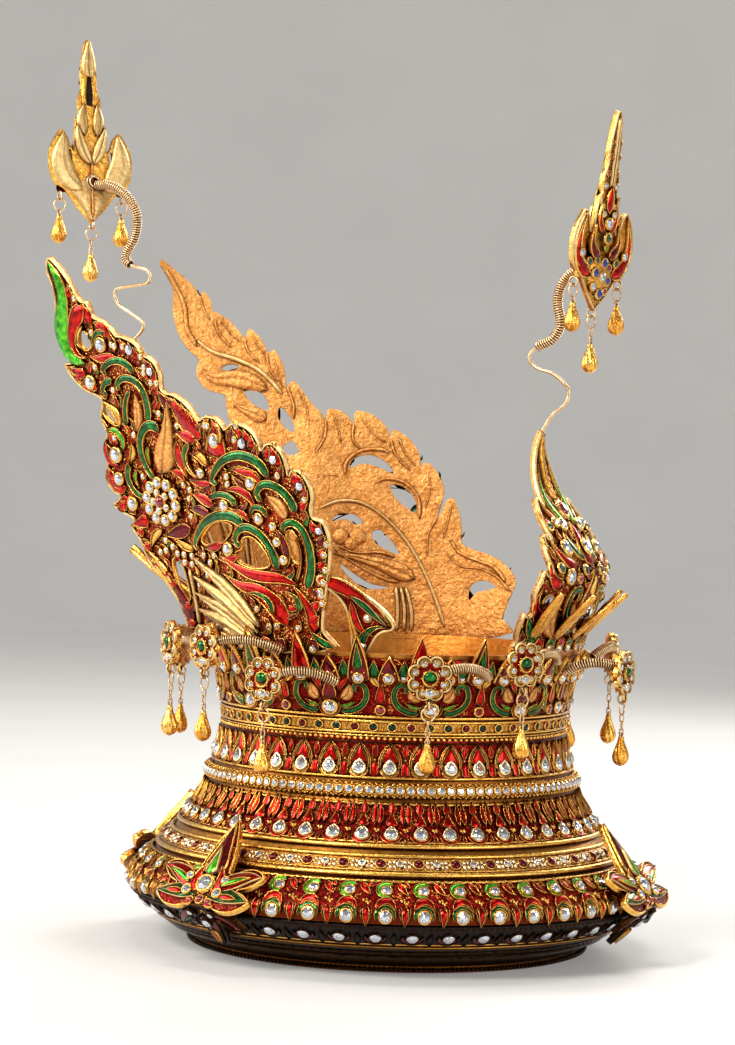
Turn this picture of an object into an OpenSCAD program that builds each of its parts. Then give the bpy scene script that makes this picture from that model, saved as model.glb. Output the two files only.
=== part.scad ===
// Flame tiara: a gilt ring crown with stone rows, two tall openwork wings,
// a front and a rear flame leaf, sprays on coil wires and hanging drops.
// The front of the crown faces -Y, its axis is Z, and its rim stands on z = 0.

/* [Crown body] */
// Inner radius of the rim, where the head goes in
bore_r = 93; // [91:0.5:94]
// Height of the straight inner rim
bore_h = 4; // [3:0.5:5]
// Thickness of the sheet wall
wall = 2.2; // [1.8:0.1:2.6]
// Gap between the body and the rows fitted on it
fit_gap = 0.3; // [0.2:0.05:0.4]

/* [Rows] */
// Number of petals in each ridge row
ridge_petals = 45; // [40:1:46]
// Number of stones in the flange band
flange_stones = 40; // [36:1:42]
// Number of leaves in the lower leaf row
lower_leaves = 46; // [42:1:48]
// Number of leaves in the upper leaf row
upper_leaves = 38; // [34:1:40]
// Number of petals along the top edge of the scroll band
crest_petals = 40; // [36:1:44]

/* [Wings and flames] */
// Thickness of the wing plates
wing_t = 3; // [2.5:0.1:3.5]
// Outward lean of the wings, degrees
wing_lean = 12; // [10:0.5:14]
// How far the foot of a wing bulges to follow the ring
wing_bulge = 12; // [10:0.5:13]
// Thickness of the flame leaves
flame_t = 3; // [2.5:0.1:3.5]

/* [Sprays and drops] */
// Outer diameter of the coil wires
coil_d = 5.2; // [4.5:0.1:5.6]
// Diameter of the bare wire
wire_d = 1.7; // [1.4:0.1:2]
// Width of a drop
drop_d = 8.2; // [7:0.2:9]
// Length of a drop
drop_l = 15; // [13:0.5:16]
// Radius of the small flowers
flower_r = 11; // [10:0.25:11.5]

/* [Hidden] */
$fn = 96;

gold = "gold";
plate_back = "goldenrod";
red = "firebrick";
green = "seagreen";
crystal = "whitesmoke";

// Outer profile of the body, rim to ridge: [height, radius]
under_profile = [[0, 97], [3, 97], [7.5, 103], [15, 113.5], [21.5, 121.5], [27, 127.2]];
// Outer profile of the body, ridge to top edge: [height, radius]
upper_profile = [[31, 128.2], [36, 125.2], [43, 118.2], [48.5, 112.8], [53, 109], [58, 105],
  [66, 98.6], [75, 92.8], [82, 90], [88.5, 88.6], [95, 86.4], [104, 84.6], [112, 83.8],
  [120, 84.6], [134, 86.8], [148.8, 89.8]];

function low_r(z) = lookup(z, under_profile);
function up_r(z) = lookup(z, upper_profile);

// Heights where a row's section has corners: its two ends and the profile's own between them
function stops(p, z0, z1) = concat([z0], [for (q = p) if (q[0] > z0 + 0.3 && q[0] < z1 - 0.3) q[0]], [z1]);

// Section of a row of thickness t that lies on the profile p, with the fit gap behind it
function row_section(p, z0, z1, t) = let (s = stops(p, z0, z1), k = len(s))
  concat([for (z = s) [lookup(z, p) + fit_gap * 1.3, z]],
         [for (i = [k - 1:-1:0]) [lookup(s[i], p) + fit_gap * 1.3 + t, s[i]]]);

// Section of a row whose outer face has the thickness given at each height: e = [height, thickness]
function edge_section(p, e) = let (k = len(e), s = stops(p, e[0][0], e[k - 1][0]))
  concat([for (z = s) [lookup(z, p) + fit_gap * 1.3, z]],
         [for (i = [k - 1:-1:0]) [lookup(e[i][0], p) + fit_gap * 1.3 + e[i][1], e[i][0]]]);

// Places a flat child on the ring: its X runs round the ring, its Y up, its Z outward.
// a is the angle from the front, tip the angle that the outward normal rises above level.
module on_ring(a, r, z, tip = 0)
  rotate([0, 0, -a]) translate([0, -r, z]) rotate([90 - tip, 0, 0]) children();

// Pointed leaf outline of width w and height h, widest at a third of its height
module leaf_shape(w, h)
  polygon([[0, 0], [w * 0.34, h * 0.1], [w / 2, h * 0.33], [w * 0.34, h * 0.6], [0, h],
           [-w * 0.34, h * 0.6], [-w / 2, h * 0.33], [-w * 0.34, h * 0.1]]);

// Curled leaf outline: a leaf of length l and width w whose tip bends sideways by b
function curl_leaf(l, w, b, n = 9) = concat(
  [for (i = [0:n]) let (t = i / n) [w / 2 * sin(180 * pow(t, 0.8)) * (1 - 0.25 * t) + b * t * t, l * t]],
  [for (i = [n - 1:-1:1]) let (t = i / n) [-w / 2 * sin(180 * pow(t, 0.8)) * (1 - 0.25 * t) + b * t * t, l * t]]);

module crown_body() color(gold)
  rotate_extrude($fn = 128)
    polygon(concat(
      [for (q = under_profile) [q[1], q[0]]],
      [for (q = upper_profile) [q[1], q[0]]],
      [for (i = [len(upper_profile) - 1:-1:0]) [upper_profile[i][1] - wall, upper_profile[i][0]]],
      [for (i = [len(under_profile) - 1:-1:2]) [under_profile[i][1] - wall - 0.6, under_profile[i][0] + 0.4]],
      [[bore_r, bore_h], [bore_r, 0]]));

module base_beading() color(gold)
  rotate_extrude($fn = 128) {
    translate([97 + fit_gap + 1.2, 1.8]) circle(1.2, $fn = 24);
  }

// Row of round petals on a plain band
module petal_row(p, z0, z1, t, n, zc, pr, pt, tip)
  union() {
    rotate_extrude($fn = 128) polygon(row_section(p, z0, z1, t));
    for (i = [0:n - 1])
      on_ring((i + 0.5) * 360 / n, lookup(zc, p) + fit_gap * 1.3 + t * 0.55, zc, tip)
        cylinder(r = pr, h = pt, $fn = 24);
  }

// Row of pointed leaves on a plain band
module leaf_row(z0, z1, t, n, zc, w, h, lt, tip)
  union() {
    rotate_extrude($fn = 128) polygon(row_section(upper_profile, z0, z1, t));
    for (i = [0:n - 1])
      on_ring((i + 0.5) * 360 / n, up_r(zc) + fit_gap * 1.3 + t * 0.75, zc, tip)
        linear_extrude(lt) leaf_shape(w, h);
  }

module lower_petal_row() color(red)
  petal_row(under_profile, 9, 26.5, 1.6, ridge_petals, 18.5, 5, 1.5, -51);

module upper_petal_row() color(green)
  petal_row(upper_profile, 31.6, 44.5, 2.4, ridge_petals, 37.2, 6, 2.6, 44);

module flange_stone_band() color(red)
  petal_row(upper_profile, 46.2, 55.6, 2, flange_stones, 51, 3, 1.5, 42);

module lower_leaf_row() color(red)
  leaf_row(58.8, 78.5, 2, lower_leaves, 60.2, 12, 17, 2, 37);

module crystal_chain() color(crystal)
  rotate_extrude($fn = 128) {
    polygon(edge_section(upper_profile,
      concat([[80.8, 1.2]], [for (i = [0:8]) [84.2 - 2.5 * cos(i * 22.5), 2.2 + 2.6 * sin(i * 22.5)]], [[87.6, 1.2]])));
  }

module upper_leaf_row() color(red)
  leaf_row(89.4, 109.6, 1.6, upper_leaves, 90.2, 13, 17.5, 2, 14);

module dot_stone_band() color(green)
  rotate_extrude($fn = 128) {
    polygon(edge_section(upper_profile,
      [[110.6, 2], [110.8, 2.8], [111.8, 2.8], [112.1, 2], [115.7, 2], [116, 2.8], [117, 2.8], [117.2, 2]]));
  }

// Petals of the top edge: a tall one stands between low ones beside the wings, clear of the ends of their feet
function petal_angle(i) = (i + 0.5) * 360 / crest_petals;
function tall_petal(i) = let (a = petal_angle(i), d = a > 180 ? 360 - a : a)
  i % 2 == 0 && d > 37 && d < 135 && abs(d - 85.5) > 2;
// Angles of the tall leaves of the scroll band from the front
scroll_angles = [for (s = [-1, 1], a = [22, 54, 86, 118, 150]) s * a];
module scroll_band() color(gold)
  union() {
    rotate_extrude($fn = 128) polygon(row_section(upper_profile, 118.2, 146.6, 1.6));
    for (i = [0:crest_petals - 1])
      on_ring(petal_angle(i), 88.7, 134.6, -21)
        linear_extrude(1.8) leaf_shape(13, tall_petal(i) ? 26 : 14.8);
    for (a = scroll_angles)
      on_ring(a, up_r(121) + 1.2, 119.5, -9)
        linear_extrude(3) leaf_shape(12, 24);
  }

// Ridge ornament: flame leaves above and below the ridge, joined by a boss
module ridge_ornament(a) color(red) {
  on_ring(a, 134.3, 32, 36)
    linear_extrude(3.2) union() {
      leaf_shape(15, 42);
      for (s = [-1, 1]) {
        translate([s * 4, 3]) rotate(s * -52) polygon(curl_leaf(28, 10, s * 8));
        translate([s * 3, 1]) rotate(s * -78) polygon(curl_leaf(25, 9, s * 6));
      }
    }
  on_ring(a, 136.2, 29.6, -48)
    linear_extrude(2.4) union() {
      rotate(180) leaf_shape(13, 27);
      for (s = [-1, 1]) translate([s * 3, -3]) rotate(180 - s * -58) polygon(curl_leaf(20, 9, s * -5));
    }
  on_ring(a, 133.6, 31, 0) cylinder(r = 4.6, h = 4.6, $fn = 24);
}
module ridge_ornament_front() ridge_ornament(0);
module ridge_ornament_back() ridge_ornament(180);
module ridge_ornament_left() ridge_ornament(105);
module ridge_ornament_right() ridge_ornament(-105);

// ---- Wings ----
// A wing lies on a plane through a chord of the ring. u runs along the chord from its
// front end, v up the plate, and the foot bulges outward to follow the ring.
wing_ring_r = 92;
wing_a0 = 80;
wing_a1 = 142;
wing_z = 149;
wing_p0 = [wing_ring_r * sin(wing_a0), -wing_ring_r * cos(wing_a0)];
wing_p1 = [wing_ring_r * sin(wing_a1), -wing_ring_r * cos(wing_a1)];
wing_chord = norm(wing_p1 - wing_p0);
wing_dir = (wing_p1 - wing_p0) / wing_chord;
wing_turn = atan2(wing_dir[1], wing_dir[0]);

function clamp01(x) = max(0, min(1, x));
function bulge(u, v) = wing_bulge * pow(sin(180 * clamp01((u + 6) / (wing_chord + 12))), 0.8) * pow(clamp01(1 - v / 190), 1.5);

// Sections of the left wing, foot to tip: [v, u of the front edge, u of the rear edge]
left_rows = [[0, 9, 103], [22, 7, 108], [40, 3, 122], [56, 5, 146], [76, 8, 155], [88, 19, 156], [98, 30, 154],
  [104, 60, 152], [112, 86, 152], [122, 107, 158], [134, 114, 176], [144, 128, 182], [154, 148, 184], [164, 157, 184],
  [176, 168, 185], [190, 182.5, 184]];
// Sections of the right wing, foot to tip: [v, u of the front edge, u of the rear edge]
right_rows = [[0, -1, 103], [20, -3, 108], [32, -6, 120], [42, 4, 130], [54, 21, 146], [70, 26, 154], [80, 32, 156],
  [90, 42, 156], [100, 50, 154], [108, 62, 152], [114, 80, 152], [122, 100, 153], [130, 112, 156], [140, 117, 162],
  [150, 126, 172], [158, 142, 177], [166, 158, 179], [178, 167, 182], [194, 184, 186]];
// Leaf lobes along a wing's edges: [u, v, direction, length, width, curl]
left_lobes = [[10, 66, 108, 18, 14, 4], [20, 82, 112, 17, 14, 4], [38, 92, 96, 17, 16, 5], [60, 94, 84, 16, 16, 4],
  [90, 104, 70, 20, 16, 4], [112, 124, 112, 17, 14, 4], [128, 136, 100, 18, 14, 4], [148, 150, 90, 15, 12, 3],
  [168, 138, -8, 16, 10, -3], [148, 100, 12, 14, 14, 3], [148, 82, 0, 14, 14, 3], [140, 62, -8, 14, 12, -3],
  [108, 40, -30, 24, 12, -3]];
right_lobes = [[8, 40, 120, 14, 14, 3], [30, 60, 118, 17, 15, 4], [38, 76, 118, 17, 15, 4], [56, 92, 112, 20, 18, 5],
  [76, 100, 96, 19, 18, 5], [98, 108, 78, 18, 14, 4], [116, 126, 112, 17, 14, 4], [130, 144, 100, 16, 14, 4],
  [150, 150, 84, 16, 12, 3], [164, 166, 110, 14, 8, 2], [150, 140, -14, 22, 16, -4], [136, 122, -24, 22, 14, -4],
  [146, 96, 0, 16, 14, 3], [146, 76, -6, 14, 14, 3]];
// Holes of the openwork: [u, v, direction, length, width, curl]
left_holes = [[40, 42, 38, 24, 11, 5], [70, 58, -14, 28, 9, 5], [14, 48, 66, 16, 6, 3], [146, 106, 30, 16, 6, 2], [112, 26, 74, 24, 7, 2]];
right_holes = [[52, 80, 30, 24, 9, 5], [42, 64, 34, 22, 8, 5], [54, 42, 42, 22, 10, 3], [74, 58, 14, 18, 7, 2],
  [58, 28, 18, 24, 9, 3], [4, 10, 78, 24, 9, 3], [112, 98, 82, 24, 6, 3]];

// The plate's outline as upright walls, with the holes cut out
module wing_block(rows, lobes, holes) translate([0, 0, -8]) difference() {
  union() {
    linear_extrude(26) polygon(concat([for (r = rows) [r[1], r[0]]], [for (i = [len(rows) - 1:-1:0]) [rows[i][2], rows[i][0]]]));
    for (w = lobes) linear_extrude(26) translate([w[0], w[1]]) rotate(w[2] - 90) polygon(curl_leaf(w[3], w[4], w[5], 7));
  }
  for (h = holes) translate([0, 0, -1]) linear_extrude(28) translate([h[0], h[1]]) rotate(h[2] - 90) polygon(curl_leaf(h[3], h[4], h[5], 6));
}

// Curved slab of the plate's thickness, as a grid over u and v
module wing_slab() {
  nu = 14; nv = 9; u0 = -14; v0 = 0; du = 224 / nu; dv = 202 / nv;
  pts = concat(
    [for (j = [0:nv], i = [0:nu]) [u0 + i * du, v0 + j * dv, bulge(u0 + i * du, v0 + j * dv)]],
    [for (j = [0:nv], i = [0:nu]) [u0 + i * du, v0 + j * dv, bulge(u0 + i * du, v0 + j * dv) - wing_t]]);
  w = nu + 1; m = w * (nv + 1);
  top = [for (j = [0:nv - 1], i = [0:nu - 1]) [j * w + i, (j + 1) * w + i, (j + 1) * w + i + 1]];
  top2 = [for (j = [0:nv - 1], i = [0:nu - 1]) [j * w + i, (j + 1) * w + i + 1, j * w + i + 1]];
  bot = [for (f = concat(top, top2)) [f[2] + m, f[1] + m, f[0] + m]];
  sides = concat(
    [for (i = [0:nu - 1]) [i, i + 1, m + i + 1, m + i]],
    [for (i = [0:nu - 1]) [nv * w + i + 1, nv * w + i, m + nv * w + i, m + nv * w + i + 1]],
    [for (j = [0:nv - 1]) [(j + 1) * w, j * w, m + j * w, m + (j + 1) * w]],
    [for (j = [0:nv - 1]) [j * w + nu, (j + 1) * w + nu, m + (j + 1) * w + nu, m + j * w + nu]]);
  polyhedron(pts, concat(top, top2, bot, sides));
}

// A wing on the +X side; its plate stands on the top edge, its outer face away from the axis
module wing(rows, lobes, holes) color(plate_back)
  intersection() {
    translate([wing_p0[0], wing_p0[1], wing_z])
      rotate([0, 0, wing_turn]) rotate([90 + wing_lean, 0, 0])
        intersection() {
          wing_slab();
          wing_block(rows, lobes, holes);
        }
    translate([-150, -150, wing_z + 0.1]) cube([300, 400, 260]);
  }
module wing_right() wing(right_rows, right_lobes, right_holes);
// Leaf at the left wing's front foot; it leans outward with the wing and joins its edge
foot_leaf = [[-1, 0], [6, 0], [9, 4], [12.5, 9], [19, 11], [19, 15], [14, 21], [6, 27], [-3, 32], [-15, 37], [-18, 33],
  [-9, 27], [-4, 20], [-2, 10]];
module wing_left() {
  mirror([1, 0, 0]) wing(left_rows, left_lobes, left_holes);
  color(plate_back) on_ring(78, 88, 149.8, -12) linear_extrude(2.6) polygon(foot_leaf);
}

// ---- Flame leaves ----
// Half outlines of the flame leaf: [height above the band, half width]
flame_half = [[0, 41], [8, 44], [20, 45], [17, 39], [28, 44], [40, 42], [36, 36], [46, 37], [57, 32], [53, 27], [63, 26],
  [74, 20], [70, 15], [82, 12], [92, 8], [106, 0.9]];
// Lean of the front leaf: [height above the band, distance from the axis]
front_lean = [[0, 91], [16, 97], [32, 102], [40, 104], [48, 99], [56, 94], [66, 87], [75, 80], [86, 75.5], [98, 73], [110, 74.5]];
// Lean of the rear leaf: [height above the band, distance from the axis]
rear_lean = [[0, 91], [20, 98], [40, 106], [70, 121], [100, 138], [130, 155], [150, 164]];
// Fingers that fan outward at the foot: [angle from the centre line, length, rise in degrees]
fingers = [[0, 34, 40], [11, 38, 44], [-11, 38, 44], [21, 36, 50], [-21, 36, 50]];

// Slab that follows a lean table and the ring's curve: x across, z up
module flame_slab(lean, hmax) {
  nx = 8; nz = 10; dx = 104 / nx; dz = hmax / nz;
  function yy(x, z) = -lookup(z, lean) + x * x / 154 * clamp01(1.1 - z / hmax);
  pts = concat(
    [for (j = [0:nz], i = [0:nx]) let (x = -52 + i * dx, z = j * dz) [x, yy(x, z), z]],
    [for (j = [0:nz], i = [0:nx]) let (x = -52 + i * dx, z = j * dz) [x, yy(x, z) + flame_t, z]]);
  w = nx + 1; m = w * (nz + 1);
  f1 = [for (j = [0:nz - 1], i = [0:nx - 1]) [j * w + i, (j + 1) * w + i, (j + 1) * w + i + 1]];
  f2 = [for (j = [0:nz - 1], i = [0:nx - 1]) [j * w + i, (j + 1) * w + i + 1, j * w + i + 1]];
  bk = [for (f = concat(f1, f2)) [f[2] + m, f[1] + m, f[0] + m]];
  sd = concat(
    [for (i = [0:nx - 1]) [i, i + 1, m + i + 1, m + i]],
    [for (i = [0:nx - 1]) [nz * w + i + 1, nz * w + i, m + nz * w + i, m + nz * w + i + 1]],
    [for (j = [0:nz - 1]) [(j + 1) * w, j * w, m + j * w, m + (j + 1) * w]],
    [for (j = [0:nz - 1]) [j * w + nx, (j + 1) * w + nx, m + (j + 1) * w + nx, m + j * w + nx]]);
  polyhedron(pts, concat(f1, f2, bk, sd));
}

module flame_outline(k)
  polygon(concat([for (q = flame_half) [q[1], q[0] * k]],
                 [for (i = [len(flame_half) - 1:-1:0]) [-flame_half[i][1], flame_half[i][0] * k]]));

// Flame leaf facing -Y, its foot on the top edge
module flame(lean, k, hmax, f_len, f_low) color(gold)
  translate([0, 0, 149.4]) {
    intersection() {
      flame_slab(lean, hmax);
      translate([0, -10, 0]) rotate([90, 0, 0]) linear_extrude(200) flame_outline(k);
    }
    for (f = fingers)
      rotate([0, 0, -f[0]]) translate([0, -88.5, 1.5]) rotate([f_low - f[2], 0, 0])
        linear_extrude(2.4) translate([0, -f[1] * f_len]) leaf_shape(9, f[1] * f_len);
  }
module front_flame() flame(front_lean, 1, 108, 1, 0);
module rear_flame() rotate([0, 0, 180]) flame(rear_lean, 1.37, 148, 1.7, 8);

// ---- Coil wires ----
function unit(v) = v / norm(v);
// Tube along points p with the radius of each in rr; rings lie across the route in the X = 0 plane
module tube(p, rr, sides = 8) {
  n = len(p);
  dirs = [for (i = [0:n - 1]) unit(p[min(i + 1, n - 1)] - p[max(i - 1, 0)])];
  pts = [for (i = [0:n - 1], k = [0:sides - 1]) let (a = 360 * k / sides, s = cross([1, 0, 0], dirs[i]))
    p[i] + rr[i] * (cos(a) * [1, 0, 0] + sin(a) * s)];
  faces = concat(
    [[for (k = [0:sides - 1]) k]],
    [[for (k = [sides - 1:-1:0]) (n - 1) * sides + k]],
    [for (i = [0:n - 2], k = [0:sides - 1]) let (k2 = (k + 1) % sides)
      [i * sides + k, (i + 1) * sides + k, (i + 1) * sides + k2]],
    [for (i = [0:n - 2], k = [0:sides - 1]) let (k2 = (k + 1) % sides)
      [i * sides + k, (i + 1) * sides + k2, i * sides + k2]]);
  polyhedron(pts, faces);
}
// Point at t on a smooth curve through the points q
function cr(q, i, t) = let (n = len(q), a = q[max(i - 1, 0)], b = q[i], c = q[min(i + 1, n - 1)], d = q[min(i + 2, n - 1)])
  0.5 * ((2 * b) + (c - a) * t + (2 * a - 5 * b + 4 * c - d) * t * t + (3 * b - a - 3 * c + d) * t * t * t);
function smooth(q, m) = concat([for (i = [0:len(q) - 2], j = [0:m - 1]) cr(q, i, j / m)], [q[len(q) - 1]]);

// Route of the front wire from the flame's tip to the spray: [y, z]
front_route = [[-74.2, 256], [-79, 264], [-86, 270], [-87, 277], [-79, 284], [-70, 287], [-66, 292], [-70, 297],
  [-78, 301], [-82, 308], [-80, 319], [-82, 328], [-88, 334], [-97.5, 336]];
// Route of the rear wire from the flame's tip to the spray: [y, z]
rear_route = [[161.9, 296], [154, 298], [149, 305], [157, 311], [165, 316], [166, 323], [157, 325], [147, 327],
  [148, 333], [158, 336], [161, 341], [156, 350], [155, 361], [161, 371], [171, 377], [179.6, 377.2]];

module coil_wire(route, first) color(gold) {
  p = smooth([for (q = route) [0, q[0], q[1]]], 4);
  tube(p, [for (i = [0:len(p) - 1]) i < first * 4 ? wire_d / 2 : coil_d / 2], 8);
}
module front_coil_wire() coil_wire(front_route, 7);
module rear_coil_wire() coil_wire(rear_route, 9);

// ---- Sprays ----
// Front half outline of the spray's plate, foot to tip: [height above the wire's end, half width]
spray_half = [[-19.4, 0.6], [-12, 8], [-4, 14.5], [-1, 19.4], [3, 22.5], [11, 24], [19, 23], [26, 19], [28.5, 16.5],
  [22, 12], [14, 9.5], [24, 9], [33, 8.6], [35, 6], [44, 7], [50, 4.2], [60, 4.6], [68, 3.2], [76, 0.8]];
// Leaves of the front layer: [x, height, direction, length, width, curl]
spray_leaves = [[8, 0, 62, 26, 12, 4], [-8, 0, 118, 26, 12, -4], [4, 8, 78, 28, 10, 2], [-4, 8, 102, 28, 10, -2]];
// Eyes of the spray: [x, height]
eyes = [[-18, -6.8], [0, -21], [18, -6.8]];
front_spray_at = [0, -100, 335];
rear_spray_at = [0, 183, 377];
// Turn of a spray about the vertical, and its lean outward going up, degrees
front_turn = -15;
rear_turn = 147;
spray_lean = 7;

// Spray: a plate with a second layer of leaves, a boss and an eye for each drop, facing -Y
module spray() color(gold) {
  rotate([90, 0, 0]) translate([0, 0, -1.2]) {
    linear_extrude(2.4) union() {
      polygon(concat([for (q = spray_half) [q[1], q[0]]],
                     [for (i = [len(spray_half) - 1:-1:0]) [-spray_half[i][1], spray_half[i][0]]]));
      for (s = [-1, 1]) translate([s * 17, -2.4]) circle(2.6, $fn = 24);
    }
    translate([0, 0, 1.8]) linear_extrude(3.4) union() {
      for (s = spray_leaves) translate([s[0], s[1]]) rotate(s[2] - 90) polygon(curl_leaf(s[3], s[4], s[5], 7));
      polygon([[-3, 30], [3, 30], [3, 52], [0, 72], [-3, 52]]);
      circle(10, $fn = 32);
    }
    translate([0, -2, 4]) cylinder(r1 = 7, r2 = 4, h = 4, $fn = 32);
  }
  for (q = eyes) translate([q[0], 0, q[1]]) eye();
}
// Wire eye in the Y-Z plane, soldered by its top to the plate above
module eye() rotate([0, 90, 0]) rotate_extrude($fn = 32) translate([2.3, 0]) circle(0.5, $fn = 16);
module set_spray(at, turn) translate(at) rotate([0, 0, turn]) rotate([spray_lean, 0, 0]) spray();
// Place of a point [x, height] of a spray
function spray_pt(at, turn, q) = at + [
  q[0] * cos(turn) + q[1] * sin(spray_lean) * sin(turn),
  q[0] * sin(turn) - q[1] * sin(spray_lean) * cos(turn),
  q[1] * cos(spray_lean)];
module front_spray() set_spray(front_spray_at, front_turn);
module rear_spray() set_spray(rear_spray_at, rear_turn);

// ---- Drops ----
// Drop whose jump ring hangs in an eye; the origin is the centre of the eye
module drop(chain = 0) color(gold) {
  translate([0, 0, -4.35]) rotate([90, 0, 0]) rotate_extrude($fn = 32) translate([3.2, 0]) circle(0.45, $fn = 16);
  translate([0, 0, -11 - chain]) cylinder(r = 0.5, h = 3.6 + chain, $fn = 16);
  translate([0, 0, -9.5 - chain - drop_l]) rotate_extrude($fn = 32)
    polygon([[0, 0], [drop_d * 0.24, drop_l * 0.04], [drop_d * 0.42, drop_l * 0.14], [drop_d * 0.5, drop_l * 0.3],
             [drop_d * 0.42, drop_l * 0.5], [drop_d * 0.26, drop_l * 0.72], [drop_d * 0.12, drop_l * 0.92], [0, drop_l]]);
}
module spray_drop(at, turn, i, chain) translate(spray_pt(at, turn, eyes[i])) rotate([0, 0, turn]) drop(chain);
module front_drop(i) spray_drop(front_spray_at, front_turn, i, i == 1 ? 5 : 0);
module rear_drop(i) spray_drop(rear_spray_at, rear_turn, i, i == 1 ? 5 : 0);
module front_drop_1() front_drop(0);
module front_drop_2() front_drop(1);
module front_drop_3() front_drop(2);
module rear_drop_1() rear_drop(0);
module rear_drop_2() rear_drop(1);
module rear_drop_3() rear_drop(2);

// ---- Small flowers ----
// Each flower: [angle from the front, distance from the axis, height, angle of its coil's root]
flowers = [[0, 119, 141, 9], [32, 107, 146, 14], [57, 105, 139, 39], [100, 107, 135, 82], [118, 113, 148, 99], [133, 116, 148, 148.2],
  [180, 119, 141, 171], [-133, 116, 148, -148.2], [-118, 113, 148, -99], [-100, 107, 135, -82], [-57, 105, 139, -39], [-32, 107, 146, -14]];

// How far the bow of a coil rises out of level, degrees
coil_rise = 48;

// Rosette of eight round petals with a domed centre and an eye below, on a coil that bows up and out of the band
module small_flower(i) color(gold) {
  f = flowers[i - 1];
  on_ring(f[0], f[1], f[2], 0) {
    for (k = [0:7]) rotate(k * 45) translate([flower_r * 0.66, 0, 0]) cylinder(r = flower_r * 0.33, h = 3, $fn = 20);
    cylinder(r = flower_r * 0.62, h = 3.4, $fn = 32);
    translate([0, 0, 3]) cylinder(r1 = flower_r * 0.36, r2 = flower_r * 0.2, h = 2.2, $fn = 32);
    translate([0, -flower_r - 1.6, 1.5]) rotate([0, 90, 0]) rotate_extrude($fn = 32) translate([2.3, 0]) circle(0.5, $fn = 16);
  }
  a = f[3]; s = sign(f[0] - a);
  p0 = [-98.2 * sin(a), -98.2 * cos(a)];
  p1 = [-(f[1] + 1) * sin(f[0]), -(f[1] + 1) * cos(f[0])];
  c = norm(p1 - p0); b = 6.5; rr = (c * c / 4 + b * b) / (2 * b);
  mid = (p0 + p1) / 2; d = (p1 - p0) / c; q = [-d[1], d[0]] * s;
  half = asin(c / 2 / rr);
  translate([mid[0], mid[1], f[2]]) rotate([0, 0, atan2(q[1], q[0])]) rotate([0, -coil_rise, 0])
    translate([b - rr, 0, 0]) rotate([0, 0, -half])
      rotate_extrude(angle = 2 * half, $fn = 96) translate([rr, 0]) circle(coil_d / 2, $fn = 24);
}
module small_drop(i) {
  f = flowers[i - 1];
  rotate([0, 0, -f[0]]) translate([0, -f[1] - 1.5, f[2] - flower_r - 1.6]) drop(8);
}
module small_flower_1() small_flower(1);
module small_flower_2() small_flower(2);
module small_flower_3() small_flower(3);
module small_flower_4() small_flower(4);
module small_flower_5() small_flower(5);
module small_flower_6() small_flower(6);
module small_flower_7() small_flower(7);
module small_flower_8() small_flower(8);
module small_flower_9() small_flower(9);
module small_flower_10() small_flower(10);
module small_flower_11() small_flower(11);
module small_flower_12() small_flower(12);
module small_drop_1() small_drop(1);
module small_drop_2() small_drop(2);
module small_drop_3() small_drop(3);
module small_drop_4() small_drop(4);
module small_drop_5() small_drop(5);
module small_drop_6() small_drop(6);
module small_drop_7() small_drop(7);
module small_drop_8() small_drop(8);
module small_drop_9() small_drop(9);
module small_drop_10() small_drop(10);
module small_drop_11() small_drop(11);
module small_drop_12() small_drop(12);

crown_body();
base_beading();
lower_petal_row();
upper_petal_row();
flange_stone_band();
lower_leaf_row();
crystal_chain();
upper_leaf_row();
dot_stone_band();
scroll_band();
ridge_ornament_front();
ridge_ornament_back();
ridge_ornament_left();
ridge_ornament_right();
wing_left();
wing_right();
front_flame();
rear_flame();
front_coil_wire();
rear_coil_wire();
front_spray();
rear_spray();
front_drop_1();
front_drop_2();
front_drop_3();
rear_drop_1();
rear_drop_2();
rear_drop_3();
small_flower_1();
small_flower_2();
small_flower_3();
small_flower_4();
small_flower_5();
small_flower_6();
small_flower_7();
small_flower_8();
small_flower_9();
small_flower_10();
small_flower_11();
small_flower_12();
small_drop_1();
small_drop_2();
small_drop_3();
small_drop_4();
small_drop_5();
small_drop_6();
small_drop_7();
small_drop_8();
small_drop_9();
small_drop_10();
small_drop_11();
small_drop_12();
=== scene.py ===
import math

import bpy
import numpy as np
from mathutils import Matrix, Vector
from mathutils.geometry import delaunay_2d_cdt


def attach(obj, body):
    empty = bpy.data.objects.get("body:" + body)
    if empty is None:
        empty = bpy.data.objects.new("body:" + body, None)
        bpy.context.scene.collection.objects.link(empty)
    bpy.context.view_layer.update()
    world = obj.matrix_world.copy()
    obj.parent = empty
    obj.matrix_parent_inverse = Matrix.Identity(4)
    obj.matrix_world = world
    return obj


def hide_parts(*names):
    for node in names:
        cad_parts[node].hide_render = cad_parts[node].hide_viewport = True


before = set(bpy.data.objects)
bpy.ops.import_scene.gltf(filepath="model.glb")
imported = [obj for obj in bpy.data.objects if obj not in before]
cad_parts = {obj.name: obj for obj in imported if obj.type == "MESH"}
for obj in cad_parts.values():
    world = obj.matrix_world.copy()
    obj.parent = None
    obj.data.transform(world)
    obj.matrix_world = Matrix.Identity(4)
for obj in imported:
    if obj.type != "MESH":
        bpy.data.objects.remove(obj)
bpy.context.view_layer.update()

MM = 0.001
sin, cos, pi = math.sin, math.cos, math.pi
rng = np.random.default_rng(11)

# ---------------------------------------------------------------- materials

def socket(node, *names):
    for n in names:
        if n in node.inputs:
            return node.inputs[n]
    raise KeyError(names)


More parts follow.
